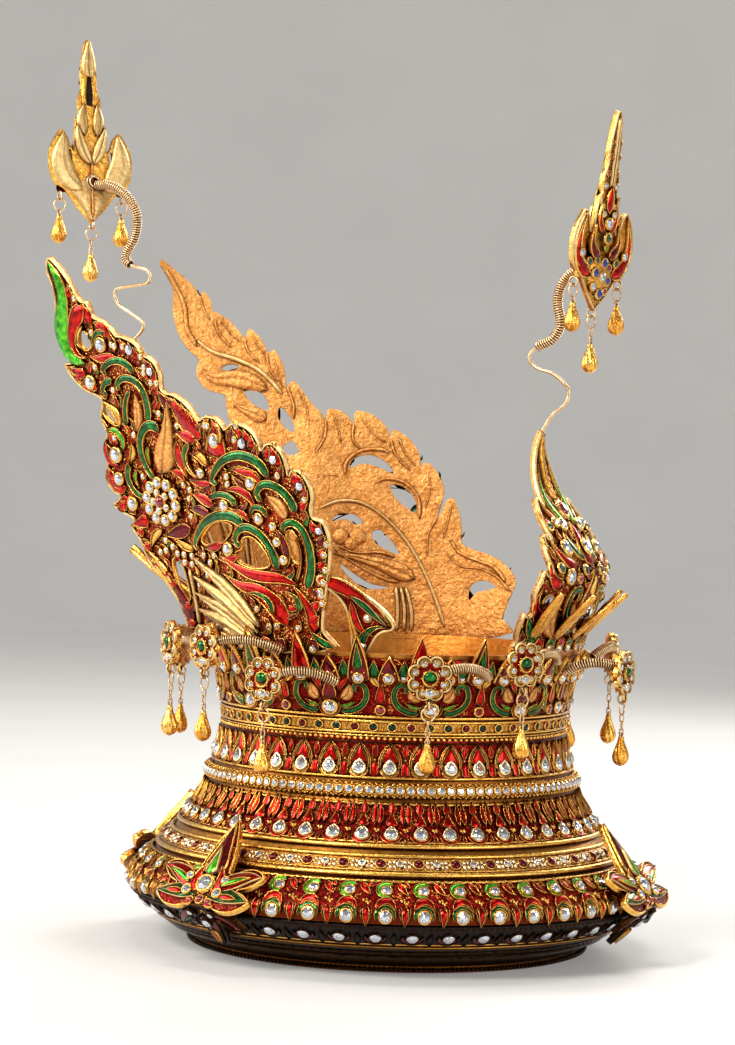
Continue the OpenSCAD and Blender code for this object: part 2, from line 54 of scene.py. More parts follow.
class Mat:
    """A small helper for node materials."""

    def __init__(self, name):
        self.m = bpy.data.materials.new(name)
        self.m.use_nodes = True
        self.t = self.m.node_tree
        self.b = self.t.nodes["Principled BSDF"]
        self.tc = self.node("ShaderNodeTexCoord")

    def node(self, kind, **kw):
        n = self.t.nodes.new(kind)
        for k, v in kw.items():
            setattr(n, k, v)
        return n

    def link(self, a, b):
        self.t.links.new(a, b)

    def noise(self, scale, detail=3.0, rough=0.55, distort=0.0):
        n = self.node("ShaderNodeTexNoise")
        n.inputs["Scale"].default_value = scale
        n.inputs["Detail"].default_value = detail
        n.inputs["Roughness"].default_value = rough
        n.inputs["Distortion"].default_value = distort
        self.link(self.tc.outputs["Object"], n.inputs["Vector"])
        return n.outputs["Fac"]

    def voronoi(self, scale, feature="F1"):
        n = self.node("ShaderNodeTexVoronoi", feature=feature)
        n.inputs["Scale"].default_value = scale
        self.link(self.tc.outputs["Object"], n.inputs["Vector"])
        return n

    def ramp(self, fac, stops):
        r = self.node("ShaderNodeValToRGB")
        e = r.color_ramp.elements
        while len(e) < len(stops):
            e.new(0.5)
        for el, (p, c) in zip(e, stops):
            el.position = p
            el.color = (*c, 1.0) if len(c) == 3 else c
        self.link(fac, r.inputs["Fac"])
        return r.outputs["Color"]

    def mapr(self, fac, a, b, lo=0.0, hi=1.0):
        n = self.node("ShaderNodeMapRange")
        n.inputs["From Min"].default_value = lo
        n.inputs["From Max"].default_value = hi
        n.inputs["To Min"].default_value = a
        n.inputs["To Max"].default_value = b
        self.link(fac, n.inputs["Value"])
        return n.outputs["Result"]

    def mix(self, fac, a, b, blend="MIX"):
        n = self.node("ShaderNodeMix", data_type="RGBA", blend_type=blend)
        ins = [s for s in n.inputs if s.enabled or True]
        f = n.inputs[0]
        ca, cb = n.inputs[6], n.inputs[7]
        for s, v in ((f, fac), (ca, a), (cb, b)):
            if hasattr(v, "is_output"):
                self.link(v, s)
            elif isinstance(v, (int, float)):
                s.default_value = v
            else:
                s.default_value = (*v, 1.0)
        return n.outputs[2]

    def math(self, op, a, b):
        n = self.node("ShaderNodeMath", operation=op)
        for s, v in ((n.inputs[0], a), (n.inputs[1], b)):
            if hasattr(v, "is_output"):
                self.link(v, s)
            else:
                s.default_value = v
        return n.outputs[0]

    def occlusion(self, distance, samples=6):
        n = self.node("ShaderNodeAmbientOcclusion", samples=samples)
        n.inputs["Distance"].default_value = distance
        return n.outputs["AO"]

    def bump(self, height, strength, distance, under=None):
        n = self.node("ShaderNodeBump")
        n.inputs["Strength"].default_value = strength
        n.inputs["Distance"].default_value = distance
        self.link(height, n.inputs["Height"])
        if under is not None:
            self.link(under, n.inputs["Normal"])
        return n.outputs["Normal"]

    def put(self, name, v):
        s = self.b.inputs[name]
        if hasattr(v, "is_output"):
            self.link(v, s)
        elif isinstance(v, (tuple, list)):
            s.default_value = (*v, 1.0) if len(v) == 3 else v
        else:
            s.default_value = v


def gold(name, bright, deep, recess, rough, grain=1500.0, bump=0.35, ao=0.006, spots=None, patina=None, hammer=0.0):
    m = Mat(name)
    tone = m.ramp(m.noise(260, 4, 0.6), [(0.3, deep), (0.62, bright)])
    if spots is not None:
        tone = m.mix(m.mapr(m.noise(900, 2, 0.6), 0, 0.7, 0.52, 0.72), tone, spots)
    # Painted shade, partly patina: where ambient occlusion finds hollows and gaps between parts, the tone is darkened
    # towards the recess colour.
    occ = m.mapr(m.occlusion(ao), 0.0, 1.0, 0.42, 0.96)
    tone = m.mix(occ, recess, tone)
    if patina is not None:
        tone = patina(m, tone)
    m.put("Base Color", tone)
    m.put("Metallic", 1.0)
    m.put("Roughness", m.mapr(m.noise(700, 3, 0.6), rough[0], rough[1], 0.3, 0.7))
    fine = m.noise(grain, 3, 0.6)
    cells = m.voronoi(grain * 0.42)
    h = m.math("ADD", fine, m.math("MULTIPLY", cells.outputs["Distance"], 0.7))
    n = m.bump(h, bump, 0.00035)
    if hammer:
        n = m.bump(m.noise(190, 2, 0.5), hammer, 0.0011, under=n)
    m.put("Normal", n)
    return m.m


def enamel(name, deep, mid, light, metallic=0.93, rough=0.12, coat=0.18, spec=0.5):
    m = Mat(name)
    tone = m.ramp(m.noise(330, 3, 0.6), [(0.28, deep), (0.52, mid), (0.78, light)])
    # Painted shade: in hollows and gaps between parts the enamel darkens towards a quarter of its deep colour, by
    # ambient occlusion.
    occ = m.mapr(m.occlusion(0.003), 0.0, 1.0, 0.3, 0.9)
    tone = m.mix(occ, tuple(c * 0.25 for c in deep), tone)
    m.put("Base Color", tone)
    m.put("Metallic", metallic)
    m.put("Roughness", m.mapr(m.noise(900, 2, 0.5), rough, rough + 0.16, 0.3, 0.7))
    m.put("Coat Weight", coat)
    m.put("Specular IOR Level", spec)
    m.put("Coat Roughness", 0.05)
    m.put("Normal", m.bump(m.noise(520, 2, 0.5), 0.3, 0.0004))
    return m.m


def field(name, low, high, granule, recess=(0.03, 0.002, 0.001), share=(0.53, 0.61)):
    """Deep red ground strewn with gold granules, for the gaps between the leaves."""
    m = Mat(name)
    d = m.voronoi(820).outputs["Distance"]
    g = m.math("MULTIPLY", m.mapr(d, 1.0, 0.0, 0.30, 0.46), m.mapr(m.noise(170, 2, 0.5), 0.0, 1.0, *share))
    tone = m.mix(g, m.ramp(m.noise(360, 3, 0.6), [(0.3, low), (0.7, high)]), granule)
    # Painted shade: hollows and gaps between parts darken towards the recess colour, by ambient occlusion.
    tone = m.mix(m.mapr(m.occlusion(0.004), 0.0, 1.0, 0.30, 0.9), recess, tone)
    m.put("Base Color", tone)
    m.put("Metallic", 0.9)
    m.put("Roughness", m.mapr(m.noise(800, 2, 0.5), 0.18, 0.36, 0.3, 0.7))
    m.put("Normal", m.bump(m.mapr(d, 1.0, 0.0, 0.0, 0.6), 0.75, 0.0006))
    return m.m


def stone(name, base, light, metallic=0.75, rough=0.04, facets=False, coat=1.0):
    m = Mat(name)
    v = m.voronoi(900 if facets else 1500)
    # With painted facet reflections on, the ramp paints reflections and sparkle: white and near-black patches in small
    # cells, as bright and dark surroundings would show in facets.
    if facets:
        tone = m.ramp(v.outputs["Distance"], [(0.0, light), (0.24, light), (0.30, (0.07, 0.08, 0.11)), (0.40, (0.16, 0.18, 0.24)), (0.46, light),
                                              (0.56, base), (0.62, (0.05, 0.06, 0.09)), (0.74, (0.70, 0.78, 0.92))])
    else:
        tone = m.ramp(v.outputs["Distance"], [(0.0, light), (0.35, base), (0.75, tuple(c * 0.35 for c in base))])
    m.put("Base Color", tone)
    m.put("Metallic", metallic)
    m.put("Roughness", m.mapr(v.outputs["Distance"], rough, rough + 0.1, 0.0, 1.0))
    m.put("Coat Weight", coat)
    m.put("Coat Roughness", 0.02)
    m.put("Normal", m.bump(v.outputs["Distance"], 0.12, 0.0003))
    return m.m


def underside_shade_and_patina(m, tone):
    """Outside, below the ridge, faces that look down are painted nearly black: painted shade, partly patina. A dark red
    band goes round the ridge edge. Above 117 to 120 mm, where the inside shows, the gilding is painted a darker
    orange-brown: painted shade.
    """
    sep = m.node("ShaderNodeSeparateXYZ")
    m.link(m.tc.outputs["Object"], sep.inputs[0])
    low = m.mapr(sep.outputs["Z"], 1.0, 0.0, 0.0235, 0.0275)
    geo = m.node("ShaderNodeNewGeometry")
    sn = m.node("ShaderNodeSeparateXYZ")
    m.link(geo.outputs["True Normal"], sn.inputs[0])
    down = m.mapr(sn.outputs["Z"], 1.0, 0.0, -0.35, -0.05)
    # Painted shade, partly patina: below 23.5 to 27.5 mm, faces that look down go nearly black.
    tone = m.mix(m.math("MULTIPLY", m.math("MULTIPLY", low, down), 0.90), tone, (0.014, 0.006, 0.003))
    lip = m.math("MULTIPLY", m.mapr(sep.outputs["Z"], 0.0, 1.0, 0.0262, 0.0272), m.mapr(sep.outputs["Z"], 1.0, 0.0, 0.0312, 0.0316))
    tone = m.mix(m.math("MULTIPLY", lip, 0.97), tone, (0.10, 0.008, 0.003))
    # Painted shade: above 117 to 120 mm, where the inside shows, the gold turns a darker orange-brown.
    high = m.mapr(sep.outputs["Z"], 0.0, 1.0, 0.117, 0.120)
    return m.mix(m.math("MULTIPLY", high, 0.75), tone, m.ramp(m.noise(240, 3, 0.6), [(0.3, (0.40, 0.13, 0.02)), (0.7, (0.66, 0.28, 0.06))]))


MATS = {
    "body": ("gilt_body", gold("gilt_sheet", (0.84, 0.43, 0.08), (0.62, 0.25, 0.03), (0.13, 0.03, 0.004), (0.26, 0.46), 900, 0.35, patina=underside_shade_and_patina)),
    "gilt": ("gilt", gold("gilt_relief", (1.0, 0.60, 0.12), (0.84, 0.34, 0.035), (0.15, 0.022, 0.003), (0.13, 0.34), 1300, 0.45, spots=(1.0, 0.80, 0.34))),
    "grain": ("gilt", gold("gilt_granular", (0.92, 0.47, 0.07), (0.60, 0.20, 0.018), (0.10, 0.018, 0.003), (0.20, 0.44), 800, 1.0, spots=(1.0, 0.72, 0.24))),
    # Near-black gold: painted shade, partly patina, on the underside and the lower ridge ornaments. Also used for the
    # core inside the coils and a line of the upper leaf row.
    "umber": ("gilt", gold("gilt_toned", (0.055, 0.022, 0.006), (0.014, 0.005, 0.002), (0.006, 0.002, 0.001), (0.2, 0.4), 1000, 0.5)),
    "matte": ("matte_gilt", gold("gilt_matte", (0.78, 0.37, 0.10), (0.56, 0.21, 0.04), (0.12, 0.026, 0.004), (0.38, 0.60), 1000, 1.5, spots=(1.0, 0.66, 0.28), hammer=0.85)),
    "pale": ("matte_gilt", gold("gilt_pale", (0.86, 0.60, 0.26), (0.70, 0.42, 0.13), (0.15, 0.045, 0.008), (0.34, 0.54), 1000, 0.6, spots=(1.0, 0.80, 0.42))),
    "fan": ("matte_gilt", gold("gilt_fan_ribs", (0.76, 0.50, 0.20), (0.50, 0.28, 0.07), (0.10, 0.03, 0.006), (0.30, 0.5), 1000, 0.6, spots=(0.85, 0.64, 0.32))),
    "wire": ("wire", gold("wire_copper_gold", (0.92, 0.66, 0.38), (0.66, 0.40, 0.18), (0.16, 0.06, 0.02), (0.24, 0.42), 1800, 0.2)),
    "red": ("red_enamel", enamel("enamel_red", (0.17, 0.0006, 0.0004), (0.50, 0.002, 0.001), (0.90, 0.018, 0.003))),
    "wine": ("red_enamel", enamel("enamel_wine", (0.045, 0.0004, 0.0008), (0.13, 0.001, 0.0016), (0.34, 0.004, 0.003), 0.75)),
    "field": ("red_enamel", field("red_granular_ground", (0.07, 0.0008, 0.0006), (0.30, 0.004, 0.0015), (0.80, 0.34, 0.05))),
    "ground": ("red_enamel", field("wing_granular_ground", (0.12, 0.006, 0.002), (0.42, 0.03, 0.006), (1.0, 0.58, 0.13), share=(0.42, 0.54))),
    "green": ("green_enamel", enamel("enamel_green", (0.001, 0.026, 0.004), (0.003, 0.095, 0.012), (0.020, 0.33, 0.035), 0.75)),
    "lime": ("green_enamel", enamel("enamel_bright_green", (0.012, 0.17, 0.006), (0.06, 0.46, 0.012), (0.34, 0.84, 0.06), 0.75)),
    # Near-black enamel: a real dark inlay on the back of the sprays, and painted shade as the ground of the underside
    # row and of the lower ridge ornaments.
    "dark": ("dark_enamel", enamel("enamel_dark", (0.004, 0.002, 0.0016), (0.011, 0.005, 0.004), (0.020, 0.008, 0.005), 0.0, 0.34, 0.0, 0.12)),
    "crystal": ("crystal", stone("crystal_white", (0.86, 0.90, 0.95), (1.0, 1.0, 1.0), 0.92, 0.02, facets=True)),
    "ruby": ("colour_stone", stone("stone_ruby", (0.30, 0.003, 0.010), (0.75, 0.02, 0.04), 0.6)),
    "garnet": ("colour_stone", stone("stone_garnet", (0.13, 0.002, 0.003), (0.46, 0.008, 0.008), 0.85, 0.14, coat=0.25)),
    "boss": ("gilt", gold("gilt_white_boss", (1.0, 0.86, 0.56), (0.96, 0.72, 0.34), (0.30, 0.12, 0.03), (0.10, 0.24), 900, 0.9)),
    "jet": ("colour_stone", stone("stone_dark_green", (0.001, 0.018, 0.006), (0.004, 0.10, 0.03), 0.7, 0.14, coat=0.25)),
    "emerald": ("colour_stone", stone("stone_emerald", (0.004, 0.06, 0.022), (0.02, 0.26, 0.08), 0.5)),
    "sapphire": ("colour_stone", stone("stone_sapphire", (0.01, 0.03, 0.32), (0.10, 0.22, 0.85), 0.6)),
}

# ---------------------------------------------------------------- meshes

class Mesh:
    """Collects vertices and faces in millimetres."""

    def __init__(self):
        self.v, self.f, self.n = [], [], 0

    def add(self, v, faces, smooth=True, flip=False):
        v = np.asarray(v, float).reshape(-1, 3)
        groups = faces if isinstance(faces, list) else [faces]
        self.v.append(v)
        for g in groups:
            g = np.asarray(g, int)
            if flip:
                g = g[:, ::-1]
            self.f.append((g + self.n, smooth))
        self.n += len(v)

    def arrays(self):
        return (np.concatenate(self.v) if self.v else np.zeros((0, 3))), self.f


PARTS = {}


def acc(node, key):
    return PARTS.setdefault((node, key), Mesh())


def grid_faces(nu, nv, wrap_u=False, wrap_v=False):
    iu = np.arange(nu if wrap_u else nu - 1)
    iv = np.arange(nv if wrap_v else nv - 1)
    a, b = np.meshgrid(iu, iv, indexing="ij")
    a, b = a.ravel(), b.ravel()
    a2, b2 = (a + 1) % nu, (b + 1) % nv
    return np.stack([a * nv + b, a2 * nv + b, a2 * nv + b2, a * nv + b2], 1)


class Motif:
    """A piece of ornament in flat coordinates: x, y and height h over its ground."""

    def __init__(self):
        self.parts = {}

    def part(self, key):
        return self.parts.setdefault(key, Mesh())

    def strip(self, key, P, wrap_u=False, wrap_v=False, smooth=True):
        P = np.asarray(P, float)
        self.part(key).add(P.reshape(-1, 3), grid_faces(P.shape[0], P.shape[1], wrap_u, wrap_v), smooth)

    def join(self, other, x=0.0, y=0.0, turn=0.0, scale=1.0, h=0.0, mirror=False, keys=None):
        c, s = cos(math.radians(turn)), sin(math.radians(turn))
        for key, mesh in other.parts.items():
            v, fs = mesh.arrays()
            v = v * scale
            if mirror:
                v = v * np.array([-1, 1, 1])
            w = np.stack([v[:, 0] * c - v[:, 1] * s + x, v[:, 0] * s + v[:, 1] * c + y, v[:, 2] + h], 1)
            dst = self.part((keys or {}).get(key, key))
            base = dst.n
            dst.v.append(w)
            dst.n += len(w)
            for g, sm in fs:
                dst.f.append(((g[:, ::-1] if mirror else g) + base, sm))
        return self


def stamp(motif, node, frames, scale=1.0):
    """Puts a flat motif at each frame (O, EX, EY, N arrays)."""
    O, EX, EY, N = frames
    m = len(O)
    scale = np.broadcast_to(np.asarray(scale, float), (m,))
    for key, mesh in motif.parts.items():
        v, fs = mesh.arrays()
        dst = acc(node, key)
        w = (O[:, None, :] + (EX[:, None, :] * v[None, :, 0:1] + EY[:, None, :] * v[None, :, 1:2]
             + N[:, None, :] * v[None, :, 2:3]) * scale[:, None, None])
        base = dst.n
        dst.v.append(w.reshape(-1, 3))
        dst.n += m * len(v)
        off = (np.arange(m) * len(v))[:, None, None]
        for g, sm in fs:
            dst.f.append(((g[None] + off).reshape(-1, g.shape[1]) + base, sm))


class Surf:
    """A curved ground: S(x, y) gives a point, sign turns the normal to the side that shows."""

    def __init__(self, S, sign=1, e=0.4):
        self.S, self.sign, self.e = S, sign, e

    def normal(self, x, y):
        e = self.e
        dx = self.S(x + e, y) - self.S(x - e, y)
        dy = self.S(x, y + e) - self.S(x, y - e)
        n = np.cross(dx, dy)
        return self.sign * n / (np.linalg.norm(n, axis=-1, keepdims=True) + 1e-12)

    def at(self, x, y, h):
        x, y, h = (np.asarray(q, float) for q in (x, y, h))
        return self.S(x, y) + self.normal(x, y) * h[..., None]

    def frames(self, x, y, h=0.0, turn=None):
        x, y = (np.atleast_1d(np.asarray(q, float)) for q in (x, y))
        h = np.broadcast_to(np.asarray(h, float), x.shape)
        e = self.e
        n = self.normal(x, y)
        ey = self.S(x, y + e) - self.S(x, y - e)
        ey /= np.linalg.norm(ey, axis=-1, keepdims=True)
        ex = np.cross(ey, n)
        if turn is not None:
            t = np.radians(np.broadcast_to(np.asarray(turn, float), x.shape))[:, None]
            ex, ey = ex * np.cos(t) + ey * np.sin(t), ey * np.cos(t) - ex * np.sin(t)
        return self.at(x, y, h), ex, ey, n


def wrap(motif, node, surf, h=0.0):
    """Lays a motif on a curved ground."""
    for key, mesh in motif.parts.items():
        v, fs = mesh.arrays()
        if not len(v):
            continue
        dst = acc(node, key)
        w = surf.at(v[:, 0], v[:, 1], v[:, 2] + h)
        base = dst.n
        dst.v.append(w)
        dst.n += len(w)
        for g, sm in fs:
            dst.f.append(((g[:, ::-1] if surf.sign < 0 else g) + base, sm))


# ---------------------------------------------------------------- flat ornament

def curve(pts, n):
    """n points evenly along a smooth curve through pts."""
    p = np.asarray(pts, float)
    if len(p) == 2:
        t = np.linspace(0, 1, n)[:, None]
        return p[0] * (1 - t) + p[1] * t
    q = np.vstack([2 * p[0] - p[1], p, 2 * p[-1] - p[-2]])
    out = []
    for i in range(len(p) - 1):
        a, b, c, d = q[i], q[i + 1], q[i + 2], q[i + 3]
        t = np.linspace(0, 1, 13)[:-1, None]
        out.append(0.5 * (2 * b + (c - a) * t + (2 * a - 5 * b + 4 * c - d) * t * t + (3 * b - a - 3 * c + d) * t ** 3))
    out.append(p[-1:])
    c = np.vstack(out)
    s = np.concatenate([[0], np.cumsum(np.linalg.norm(np.diff(c, axis=0), axis=1))])
    g = np.linspace(0, s[-1], n)
    return np.stack([np.interp(g, s, c[:, k]) for k in range(c.shape[1])], 1)


def widths(kind, n, w):
    t = np.linspace(0, 1, n)
    if kind == "leaf":
        f = np.sin(pi * t ** 0.75) ** 0.85
    elif kind == "flame":
        f = np.where(t < 0.22, np.sqrt(np.clip(t / 0.22 * (2 - t / 0.22), 0, 1)), np.clip((1 - t) / 0.78, 0, 1) ** 0.9)
    elif kind == "ogive":
        f = np.where(t < 0.12, np.sqrt(np.clip(t / 0.12 * (2 - t / 0.12), 0, 1)), np.clip(1 - ((t - 0.12) / 0.88) ** 1.7, 0, 1))
    elif kind == "drop":
        f = np.sin(pi * t ** 0.55) ** 0.9
    elif kind == "scroll":
        e = 0.10
        f = np.where(t < e, np.sqrt(np.clip(1 - (1 - t / e) ** 2, 0, 1)), 1.0) * (1 - 0.35 * t)
        f = np.where(t > 1 - e, f * np.sqrt(np.clip(1 - ((t - 1 + e) / e) ** 2, 0, 1)), f)
    elif kind == "band":
        e = 0.08
        f = np.where(t < e, np.sqrt(np.clip(1 - (1 - t / e) ** 2, 0, 1)), 1.0)
        f = np.where(t > 1 - e, f * np.sqrt(np.clip(1 - ((t - 1 + e) / e) ** 2, 0, 1)), f)
    else:
        f = np.ones(n)
    return np.maximum(f * w, 0.03)


def side(sp):
    t = np.gradient(sp, axis=0)
    t /= np.linalg.norm(t, axis=1, keepdims=True) + 1e-9
    return np.stack([-t[:, 1], t[:, 0]], 1)


def sweep(m, key, sp, cols, hs, cap=True):
    """Cross-section columns: cols (K, C) offsets to the left, hs (K, C) heights."""
    L = side(sp)
    P = np.empty((*cols.shape, 3))
    P[..., :2] = sp[:, None, :] + L[:, None, :] * cols[..., None]
    P[..., 2] = hs
    if cap:
        a, b = P[:1].copy(), P[-1:].copy()
        a[..., 2] = hs[0, 0]
        b[..., 2] = hs[-1, 0]
        P = np.concatenate([a, P, b])
    m.strip(key, P)


def cell(m, pts, w, kind="leaf", n=12, rim=0.7, hb=0.0, hr=1.3, he=0.55, dome=0.45, gold="gilt", fill="red", lift=0.0):
    """Leaf or ribbon with a raised gold rim round a domed enamel inlay. lift raises the tip."""
    if np.isscalar(w):
        n = max(6, int(round(n * 0.60)))
    sp = curve(pts, n)
    if fill in ("red", "wine", "green", "lime", "dark"):
        hr = min(hr, he + 0.62)
        rim *= 0.88
    w = widths(kind, n, w) if np.isscalar(w) else np.asarray(w)
    rm = np.minimum(rim, w * 0.75)
    e = w - rm
    t = np.linspace(0, 1, n) ** 1.5 * lift
    z = lambda h: np.full(n, hb + h) + t
    base = np.full(n, hb)
    g = [(-w, base), (-(w - 0.12 * rm), z(hr * 0.85)), (-(e + 0.4 * rm), z(hr)), (-e, z(he - 0.25))]
    cols = np.stack([c for c, _ in g], 1)
    hs = np.stack([h for _, h in g], 1)
    sweep(m, gold, sp, cols, hs)
    sweep(m, gold, sp, -cols[:, ::-1], hs[:, ::-1])
    k = [-1.0, -0.45, 0.45, 1.0]
    d = [0.0, 0.92, 0.92, 0.0]
    sweep(m, fill, sp, np.stack([e * q for q in k], 1), np.stack([z(he) + dome * q * np.minimum(1, e / 1.2) for q in d], 1), cap=False)
    return m


def rib_leaf(m, pts, w, kind="leaf", n=14, hb=0.0, h=1.6, key="gilt", veins=5, lift=0.0, groove=True):
    """Plain cast leaf with a midrib and slanting veins."""
    if np.isscalar(w):
        n = max(8, int(round(n * 0.8)))
    sp = curve(pts, n)
    w = widths(kind, n, w) if np.isscalar(w) else np.asarray(w)
    t = np.linspace(0, 1, n)
    up = t ** 1.5 * lift
    ripple = 0.22 * np.abs(np.sin(t * pi * veins))
    mid = h * (0.55 if groove else 1.15)
    ks = [(-1, 0.0), (-0.9, 0.7), (-0.5, 1.0), (-0.12, 0.92), (0, mid / h), (0.12, 0.92), (0.5, 1.0), (0.9, 0.7), (1, 0.0)]
    cols = np.stack([w * a for a, _ in ks], 1)
    hs = np.stack([hb + (up + h * b * (1 - ripple * (1 if abs(a) > 0.3 else 0.3)) if b > 0 else 0 * t) for a, b in ks], 1)
    sweep(m, key, sp, cols, hs)
    return m


def cord_line(m, pts, w, n=24, hb=0.0, h=0.9, key="gilt", kind="band"):
    """Round-topped raised line."""
    if np.isscalar(w):
        n = max(8, int(round(n * 0.75)))
    sp = curve(pts, n)
    ww = widths(kind, n, w) if np.isscalar(w) else np.asarray(w)
    ks = [(-1, 0), (-0.8, 0.66), (0, 1.0), (0.8, 0.66), (1, 0)]
    sweep(m, key, sp, np.stack([ww * a for a, _ in ks], 1), np.stack([hb + h * b * np.minimum(1, ww / (0.5 * w if np.isscalar(w) else 1)) for _, b in ks], 1))
    return m


def gem_mesh(r, h=None, n=8, y=1.0, point=0.0):
    """Faceted stone on its girdle: crown only, its table up. point draws the outline to a tip at +y."""
    h = r * 0.5 if h is None else h
    a = np.arange(n) * 2 * pi / n + pi / n
    am = a + pi / n
    ag = np.arange(2 * n) * pi / n + pi / n

    def ring(ang, rad, z):
        f = 1 + point * np.clip(np.sin(ang), 0, 1) ** 6
        return np.stack([rad * r * np.cos(ang), rad * r * np.sin(ang) * y * f, np.full(len(ang), z * h)], 1)

    T, M, G, B = ring(a, 0.52, 1.0), ring(am, 0.80, 0.72), ring(ag, 1.0, 0.25), ring(ag, 1.0, -0.3)
    v = np.vstack([T, M, G, B, [[0, 0, h]]])
    t0, m0, g0, b0, c = 0, n, 2 * n, 4 * n, 6 * n
    tri, quad = [], []
    for k in range(n):
        k2, kp = (k + 1) % n, (k - 1) % n
        tri.append((c, t0 + k, t0 + k2))
        tri.append((t0 + k, m0 + k, t0 + k2))
        quad.append((t0 + k, m0 + kp, g0 + 2 * k, m0 + k))
        ga, gb, gc = g0 + 2 * k, g0 + 2 * k + 1, g0 + (2 * k + 2) % (2 * n)
        tri.append((m0 + k, ga, gb))
        tri.append((m0 + k, gb, gc))
    for k in range(2 * n):
        k2 = (k + 1) % (2 * n)
        quad.append((g0 + k, b0 + k, b0 + k2, g0 + k2))
    return v, [np.array(tri), np.array(quad)]


def cup_mesh(r, wall=0.55, h=1.0, n=16, point=0.0):
    """Gold collet round a stone of radius r."""
    ang = np.arange(n) * 2 * pi / n
    f = 1 + point * np.clip(np.sin(ang), 0, 1) ** 6
    prof = [(r + wall * 1.35, 0.0), (r + wall * 0.95, 0.9 * h), (r + 0.25 * wall, h), (r - 0.12 * r, 0.55 * h)]
    P = np.array([[(p * cos(t), p * sin(t) * q, z) for t, q in zip(ang, f)] for p, z in prof])
    return P


def gem(m, x=0.0, y=0.0, r=2.6, hb=0.0, kind="crystal", point=0.0, gold="gilt", n=8, wall=0.55, cup=1.0, beads=0):
    v, fs = gem_mesh(r, None, 6 if r < 1.9 and n == 8 else n, 1.0, point)
    v = v + np.array([x, y, hb + cup * 0.62])
    m.part(kind).add(v, fs, False)
    P = cup_mesh(r, wall, cup, 9 if r < 2 else 12, point) + np.array([x, y, hb])
    m.part(gold).add(P.reshape(-1, 3), grid_faces(P.shape[0], P.shape[1], False, True), True, True)
    for k in range(beads):
        t = 2 * pi * (k + 0.5) / beads
        f = 1 + point * max(0, sin(t)) ** 6
        bead(m, x + (r + wall * 1.3) * cos(t), y + (r + wall * 1.3) * sin(t) * f, 0.62, hb, gold)
    return m


def dome_mesh(r, h, n=8, rows=3):
    v = [(r * cos(k * pi / 2 / rows) * cos(2 * pi * j / n), r * cos(k * pi / 2 / rows) * sin(2 * pi * j / n), h * sin(k * pi / 2 / rows))
         for k in range(rows) for j in range(n)] + [(0, 0, h)]
    q = [(k * n + j, k * n + (j + 1) % n, (k + 1) * n + (j + 1) % n, (k + 1) * n + j) for k in range(rows - 1) for j in range(n)]
    t = [((rows - 1) * n + j, (rows - 1) * n + (j + 1) % n, rows * n) for j in range(n)]
    return np.array(v), [np.array(q), np.array(t)]


def bead(m, x, y, r, hb=0.0, key="gilt", h=None, n=7):
    v, fs = dome_mesh(r, r * 1.1 if h is None else h, min(n, 6), 3 if r > 1.2 else 2)
    m.part(key).add(v + np.array([x, y, hb]), fs)
    return m


def bead_line(m, pts, r, step, hb=0.0, key="gilt"):
    p = np.asarray(pts, float)
    c = curve(p, 60)
    s = np.concatenate([[0], np.cumsum(np.linalg.norm(np.diff(c, axis=0), axis=1))])
    for d in np.arange(0, s[-1], step):
        bead(m, np.interp(d, s, c[:, 0]), np.interp(d, s, c[:, 1]), r, hb, key)
    return m


def grains(m, x, y, rx, ry, count, r=(0.35, 0.7), hb=0.0, key="grain", seed=1):
    """A patch of gold granules."""
    g = np.random.default_rng(seed)
    for _ in range(count):
        a, q = g.uniform(0, 2 * pi), math.sqrt(g.uniform(0, 1))
        bead(m, x + rx * q * cos(a), y + ry * q * sin(a), g.uniform(*r), hb, key, n=6)
    return m


# ---------------------------------------------------------------- the ring

UNDER = [[0, 97], [3, 97], [7.5, 103], [15, 113.5], [21.5, 121.5], [27, 127.2]]
UPPER = [[31, 128.2], [36, 125.2], [43, 118.2], [48.5, 112.8], [53, 109], [58, 105], [66, 98.6], [75, 92.8], [82, 90],
         [88.5, 88.6], [95, 86.4], [104, 84.6], [112, 83.8], [120, 84.6], [134, 86.8], [148.8, 89.8]]
PROF = np.array(UNDER + UPPER, float)
PS = np.concatenate([[0], np.cumsum(np.hypot(np.diff(PROF[:, 0]), np.diff(PROF[:, 1])))])


def s_of(z):
    return np.interp(z, PROF[:, 0], PS)


def zr(s):
    s = np.asarray(s, float)
    z, r = np.interp(s, PS, PROF[:, 0]), np.interp(s, PS, PROF[:, 1])
    over, below = np.maximum(s - PS[-1], 0), np.minimum(s, 0)
    return z + over * 0.98 + below, r + over * 0.2


def prof_dir(s, e=2.0):
    z1, r1 = zr(s + e)
    z0, r0 = zr(s - e)
    d = np.hypot(z1 - z0, r1 - r0) + 1e-9
    return (z1 - z0) / d, (r1 - r0) / d          # tangent (z, r); the normal is (r: tz, z: -tr)


GAP = 0.39


def ring_point(a, s, h):
    """Point of the ring at angle a (radians from the front), arc length s up the profile, h off the ground."""
    z, r = zr(s)
    tz, tr = prof_dir(s)
    rr, zz = r + tz * h + GAP * tz, z - tr * h - GAP * tr
    return np.stack([-rr * np.sin(a), -rr * np.cos(a), zz], -1)


def ring_wrap(motif, node, angles, z0, h=0.0, mirror_odd=False):
    """Lays a motif round the ring at each angle in degrees; its y runs up the profile from z0."""
    s0 = float(s_of(z0))
    r0 = float(zr(s0)[1])
    for i, a in enumerate(angles):
        for key, mesh in motif.parts.items():
            v, fs = mesh.arrays()
            mir = mirror_odd and i % 2
            x = -v[:, 0] if mir else v[:, 0]
            dst = acc(node, key)
            w = ring_point(math.radians(a) - x / r0, s0 + v[:, 1], v[:, 2] + h)
            base = dst.n
            dst.v.append(w)
            dst.n += len(w)
            for g, sm in fs:
                dst.f.append(((g[:, ::-1] if mir else g) + base, sm))


